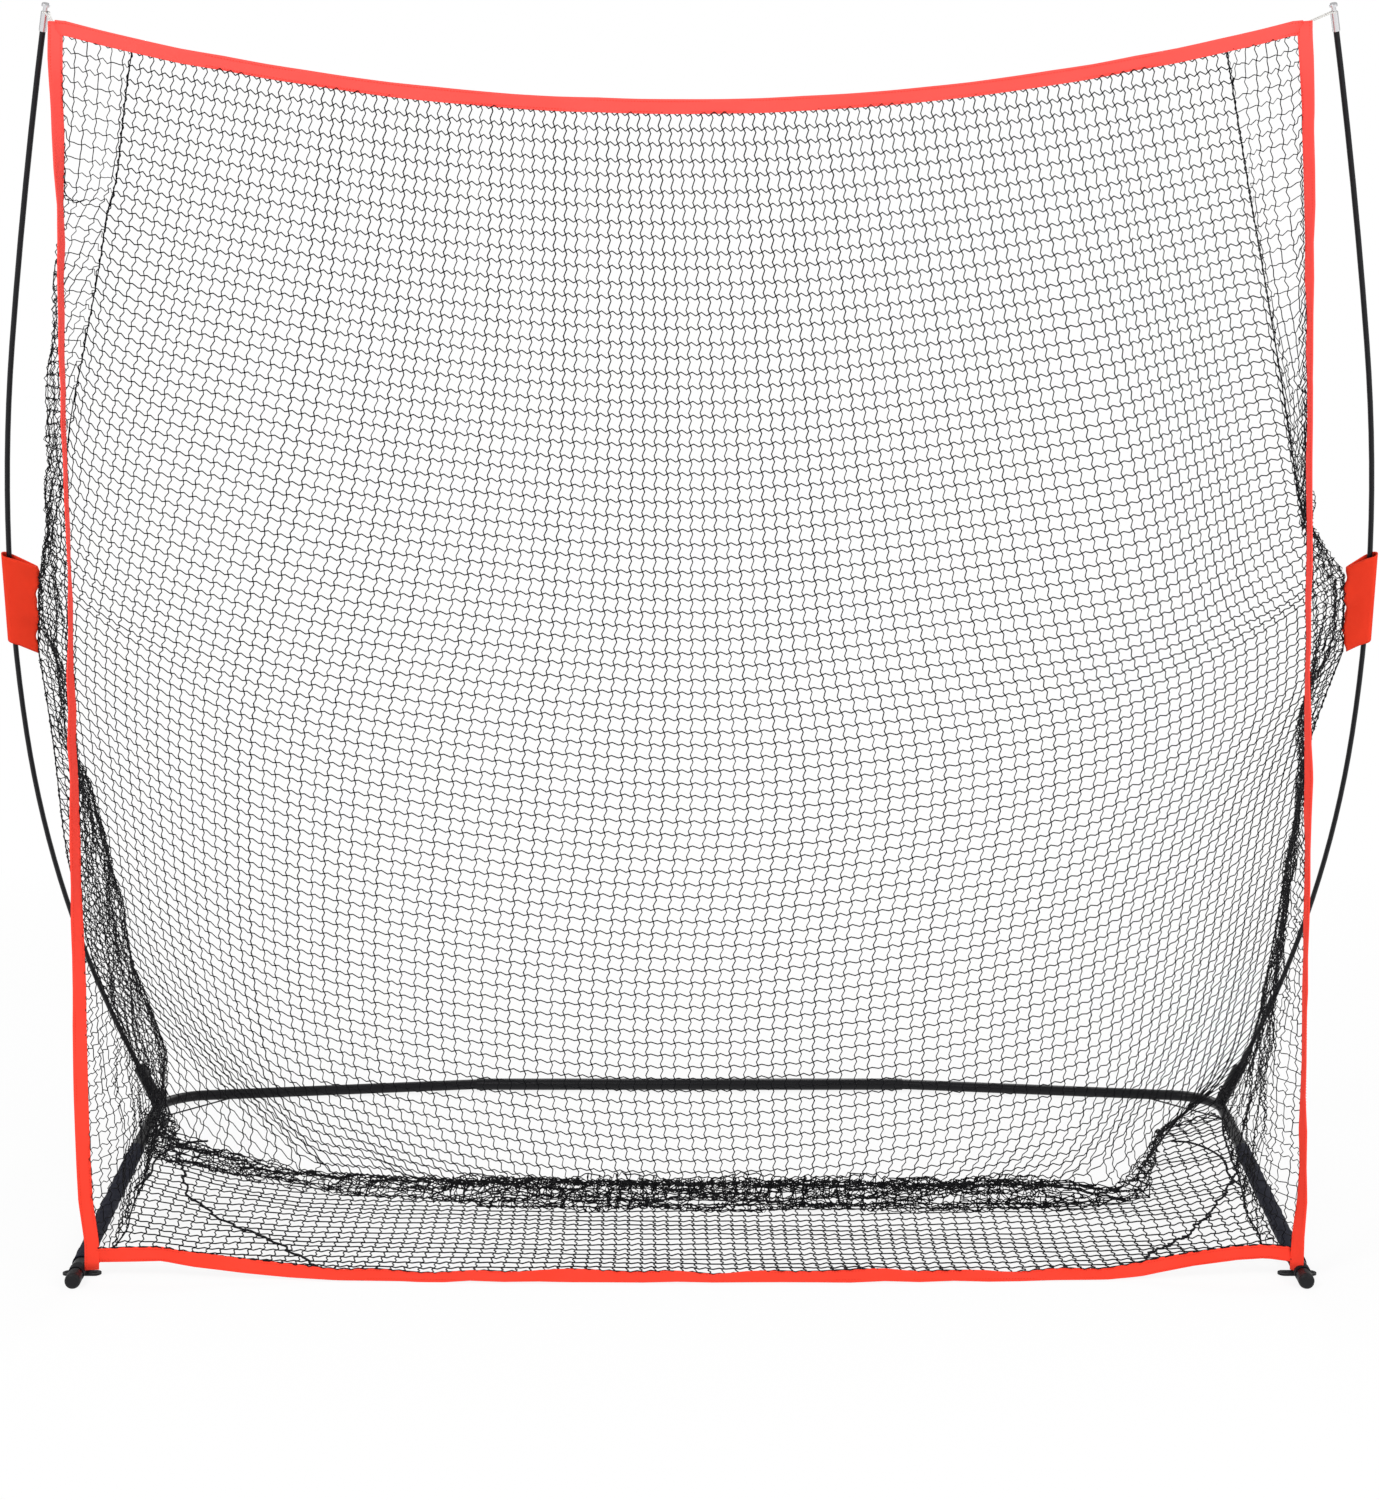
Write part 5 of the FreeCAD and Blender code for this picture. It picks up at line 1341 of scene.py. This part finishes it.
def wrap(name, side, start, length, gap, thick, material, creases, seed, step=0.004):
    """A closed band round the side tube, flat where it meets the floor."""
    rng = np.random.default_rng(seed)
    ahead = unit(side_tube_point(side, 1.0) - side_tube_point(side, 0.0))
    level = np.cross(UP, ahead)
    rows, sides = max(8, int(length / step)), 28
    phases = rng.uniform(0, 6.28, 6)
    points, uvs = [], []
    for skin in (0, 1):
        for row in range(rows + 1):
            t = row / rows
            centre = side_tube_point(side, start + length * t)
            end = min(1.0, 8 * min(t, 1 - t) + 0.25)
            for n in range(sides):
                angle = 2 * math.pi * (n if skin == 0 else sides - 1 - n) / sides
                waves = (math.sin(61 * t + 2 * angle + phases[0]) + math.sin(97 * t - 3 * angle + phases[1])
                         + 0.7 * math.sin(29 * t + angle + phases[2]))
                crease = creases * end * waves / 2.7
                radius = TUBE_RADIUS + gap + (thick + max(0.0, crease) if skin == 0 else 0.0)
                point = centre + (level * math.cos(angle) + UP * math.sin(angle)) * radius
                point[2] = max(point[2], 0.0003 if skin == 0 else 0.0005)
                points.append(point)
                uvs.append((length * t, angle * TUBE_RADIUS))
    return new_piece(name, points, two_skins(rows + 1, sides), material, uvs)


for side, name in SIDES.items():
    cover = wrap(name + "_tube_cover", side, start=0.092, length=COVER_LONG, gap=0.0006, thick=0.0016,
                 material=NAVY_CLOTH, creases=0.0022, seed=21 + side)
    on_frame(cover, "dark_fabric", name + "_tube_sleeve")
    name + "_side_tube"
    strap = wrap(name + "_corner_strap", side, start=0.038, length=0.022, gap=0.0003, thick=0.0013,
                 material=STRAP_CLOTH, creases=0.0002, seed=31 + side, step=0.002)
    on_frame(strap, "dark_fabric", name + "_foot_strap")

# %% [markdown]
# ## Cords
# The seams of the net are edged with a cord, a rope edges the net on the floor, an
# elastic loop hangs each top corner on its pole, and a tie holds each rear corner.

# %% Edge cords along the folds and the rope on the floor
ROPE_LAY = 0.016
for side, name in SIDES.items():
    fold = net.knots[back_grid[:, FOLD_COLUMN[side]]]
    seam = tube_mesh(name + "_fold_cord", rounded(fold[::3], 260), 0.0010, ROPE, sides=6)
    on_frame(seam, "net_cord")
    lowest = side_grids[side][FOLD_ROWS]
    foot = rounded(np.vstack([net.knots[lowest[lowest >= 0]][::3], fold[-1:]]), 160)
    edge = tube_mesh(name + "_foot_cord", foot, 0.0015, ROPE, sides=6)
    on_frame(edge, "net_cord")
    route = rounded([(side * x, y, 0.0058) for x, y in BORDER], 140)
    _, first, second = steady_frames(route)
    for strand in range(3):
        turn = lengths_along(route) / ROPE_LAY * 2 * math.pi + strand * 2 * math.pi / 3
        round_it = first * np.cos(turn)[:, None] + second * np.sin(turn)[:, None]
        rope = tube_mesh(f"{name}_border_rope_{strand + 1}", route + round_it * 0.0011, 0.0013, ROPE, sides=7)
        on_frame(rope, "net_cord", name + "_border_cord")

# %% The seam where the side net lies on the floor net
FLOOR_SEAMS = {
    -1: [(-1.080, 0.120), (-0.990, -0.110), (-0.944, -0.240), (-0.907, -0.280),
         (-0.859, -0.335), (-0.783, -0.395), (-0.694, -0.494), (-0.630, -0.570)],
    1: [(1.078, -0.120), (1.020, -0.230), (0.960, -0.340), (0.880, -0.430), (0.774, -0.550)],
}
for side, name in SIDES.items():
    line = rounded([(x, y, 0.0) for x, y in FLOOR_SEAMS[side]], 120)
    for step, point in enumerate(line):
        point[:2] += 0.006 * np.array([rolling(step, 3, 0), rolling(step, 5, 1)])
        point[2] = floor_surface(point[0], point[1]) + 0.0035
    on_frame(tube_mesh(name + "_floor_seam_cord", line, 0.0021, ROPE, sides=7), "net_cord")

# %% Elastic loops at the top corners, and ties at the rear corners
TIP_RUN = unit((-0.1, -0.38, 0.92))
POST_RUN = (0.293, -0.410, 0.864)


def loop_round(centre, axis, radius, target, twist):
    """A cord that leaves the target, goes round an axis once and comes back."""
    axis = unit(axis)
    toward = unit((target - centre) - axis * (target - centre).dot(axis))
    side = np.cross(axis, toward)
    apart = unit(np.cross(target - centre, axis)) * 0.0016
    turn = [centre + (toward * math.cos(a) + side * math.sin(a)) * radius
            for a in np.linspace(0.55, 2 * math.pi - 0.55, 18)]
    return rounded([target + apart * twist, *turn, target - apart * twist], 90)


for side, name in SIDES.items():
    run = on_side(TIP_RUN, side)
    low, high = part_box(name + "_tip_cap")
    groove = np.array((low + high) / 2) - run * 0.0085
    corner = upright_seam(1.0, side) + np.array([side * 0.018, -0.001, 0.022])
    loop = tube_mesh(name + "_elastic_loop", loop_round(groove, run, 0.0056, corner, -1), 0.0013, LOOP_CORD)
    on_frame(loop, "loop_elastic", name + "_corner_loop")
    low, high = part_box(name + "_rear_tie")
    ring = np.array([(low[0] + high[0]) / 2, high[1] - (high[0] - low[0]) / 2, (low[2] + high[2]) / 2])
    corner = on_side(REAR_TIE, side)
    post = unit(on_side(POST_RUN, side))
    tie = tube_mesh(name + "_rear_cord", loop_round(ring, post, 0.0158, corner, 1), 0.0014, ROPE)
    on_frame(tie, "net_cord", name + "_rear_tie")

# %% [markdown]
# ## Stitches
# Two rows of stitches run along each face of the hems. One point stands for each
# stitch, and a second Geometry Nodes tree puts a short thread there, turned along
# the seam and a little uneven in length.


# %% Points to stitches
STITCH_TREE = new_tree(
    "stitches",
    inputs={"Stitch length": 0.0030, "Thread radius": 0.0004, "Seed": 5},
    nodes={"dots": "GeometryNodeMeshToPoints", "bead": "GeometryNodeMeshUVSphere",
           "spread": "GeometryNodeInstanceOnPoints", "along": "GeometryNodeInputNamedAttribute",
           "turned": "FunctionNodeAlignRotationToVector", "uneven": "FunctionNodeRandomValue",
           "long": "ShaderNodeMath", "shape": "ShaderNodeCombineXYZ"},
    settings={"along": ("data_type", "FLOAT_VECTOR"), "turned": ("axis", "Z"),
              "long": ("operation", "MULTIPLY")},
    values={"bead.Segments": 5, "bead.Rings": 4, "bead.Radius": 1.0, "along.Name": "along",
            "uneven.2": 0.42, "uneven.3": 0.54},
    links=["along.Attribute > turned.Vector", "given.Seed > uneven.Seed", "uneven.1 > long.0",
           "given.Stitch length > long.1", "given.Thread radius > shape.0",
           "given.Thread radius > shape.1", "long.0 > shape.2", "given.Geometry > dots.Mesh",
           "dots.Points > spread.Points", "bead.Mesh > spread.Instance",
           "turned.Rotation > spread.Rotation", "shape.Vector > spread.Scale",
           "spread.Instances > real.Geometry"])
STITCH_PITCH = 0.0052


def stitched(name, lines):
    """Stitches along lines, as one piece."""
    places, ways = [], []
    for line in lines:
        line = np.asarray(line, float)
        count = max(2, int(lengths_along(line)[-1] / STITCH_PITCH))
        here = spaced(line, (np.arange(count) + 0.5) / count)
        places.append(here)
        ways.append(np.gradient(here, axis=0))
    places, ways = np.vstack(places), np.vstack(ways)
    mesh = bpy.data.meshes.new(name)
    mesh.from_pydata([tuple(p) for p in places], [], [])
    along = mesh.attributes.new("along", "FLOAT_VECTOR", "POINT")
    along.data.foreach_set("vector", ways.ravel())
    piece = linked(name, mesh)
    grown(piece, STITCH_TREE, Finish=RED_THREAD, Stitch_length=0.0036, Thread_radius=0.00042)
    print(f"{name:24s} stitches {len(places)} faces {len(piece.data.polygons)}")
    return piece


def seam_lines(sections):
    """Two lines of stitches on each face of a tape, near its edges."""
    lines = []
    for across in (-0.34, 0.34):
        for face_side in (-1, 1):
            lines.append([centre + wide * across * HEM_WIDTH + face * face_side * (TAPE_THICK * 0.46)
                          for centre, wide, face in sections])
    return lines


# %% Stitches of the hems
for name, sections in (("top", top_sections), ("bottom", bottom_sections),
                       ("left", upright_sections(-1)), ("right", upright_sections(1))):
    on_frame(stitched(name + "_hem_stitches", seam_lines(sections)), "hem_tape")

# %% [markdown]
# ## Stage
# The photograph has a plain white ground. The floor shows white to the camera and
# to reflections, but keeps a part of its own shading, so the object's soft shadow
# still lies on it. The lamps stay at a plain level.


# %% Floor, backdrop and lamps
# How white the camera sees the floor at the object, and how strongly the sky lights it
NEAR_WHITE = 0.88
SKY_LIGHT = 0.55


def white_ground():
    """White to the camera, with a share of real shading near the object."""
    finish = Finish("white_ground", roughness=1.0, gloss=0.0)
    finish.set("Base Color", (0.9, 0.9, 0.9, 1.0))
    rays = finish.tree.nodes.new("ShaderNodeLightPath")
    kinds = ("Is Camera Ray", "Is Glossy Ray", "Is Transmission Ray")
    seen = [Value(finish, rays.outputs[kind]) for kind in kinds]
    direct = seen[0].maths("MAXIMUM", seen[0], seen[0].maths("MAXIMUM", seen[1], seen[2]))
    flat = finish.place((0.25, 0.25, 0.0))
    away = finish.node("ShaderNodeVectorMath", {"operation": "LENGTH"}, {0: flat}, out=1)
    share = away.maths("MINIMUM", away ** 3 * (1 - NEAR_WHITE) + NEAR_WHITE, 1.0)
    glow = finish.tree.nodes.new("ShaderNodeEmission")
    mixed = finish.tree.nodes.new("ShaderNodeMixShader")
    out = finish.tree.nodes["Material Output"]
    finish.give(mixed.inputs[0], direct * share)
    finish.tree.links.new(finish.shader.outputs[0], mixed.inputs[1])
    finish.tree.links.new(glow.outputs[0], mixed.inputs[2])
    finish.tree.links.new(mixed.outputs[0], out.inputs["Surface"])
    return finish.material


corners = [(-30, -30, 0), (30, -30, 0), (30, 30, 0), (-30, 30, 0)]
new_piece("floor", corners, [(0, 1, 2, 3)], white_ground())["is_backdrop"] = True

world = bpy.data.worlds.new("studio")
world.use_nodes = True
bpy.context.scene.world = world
sky = world.node_tree.nodes["Background"]
path = world.node_tree.nodes.new("ShaderNodeLightPath")
level = world.node_tree.nodes.new("ShaderNodeMath")
level.operation = "MULTIPLY_ADD"
level.inputs[1].default_value = 1 - SKY_LIGHT
level.inputs[2].default_value = SKY_LIGHT
world.node_tree.links.new(path.outputs["Is Camera Ray"], level.inputs[0])
world.node_tree.links.new(level.outputs[0], sky.inputs["Strength"])
sky.inputs["Color"].default_value = (1.0, 1.0, 1.0, 1.0)


def lamp(name, place, target, wide, watts):
    """A round soft lamp that looks at a target."""
    data = bpy.data.lights.new(name, "AREA")
    data.shape = "DISK"
    data.size = wide
    data.energy = watts
    made = linked(name, data)
    made.location = place
    made.rotation_euler = (Vector(target) - Vector(place)).to_track_quat("-Z", "Y").to_euler()


lamp("key", (-2.6, -4.2, 4.2), (0, 0, 0.9), 2.0, 150.0)
lamp("fill", (3.4, -3.4, 2.6), (0, 0, 0.9), 2.4, 80.0)
lamp("back", (0.5, 4.0, 3.8), (0, 0, 0.6), 2.5, 90.0)

bpy.context.scene.view_settings.view_transform = "Standard"

# %% Sizes of the whole
low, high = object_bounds()
print("visual box", [round(v, 3) for v in (*low, *high)])
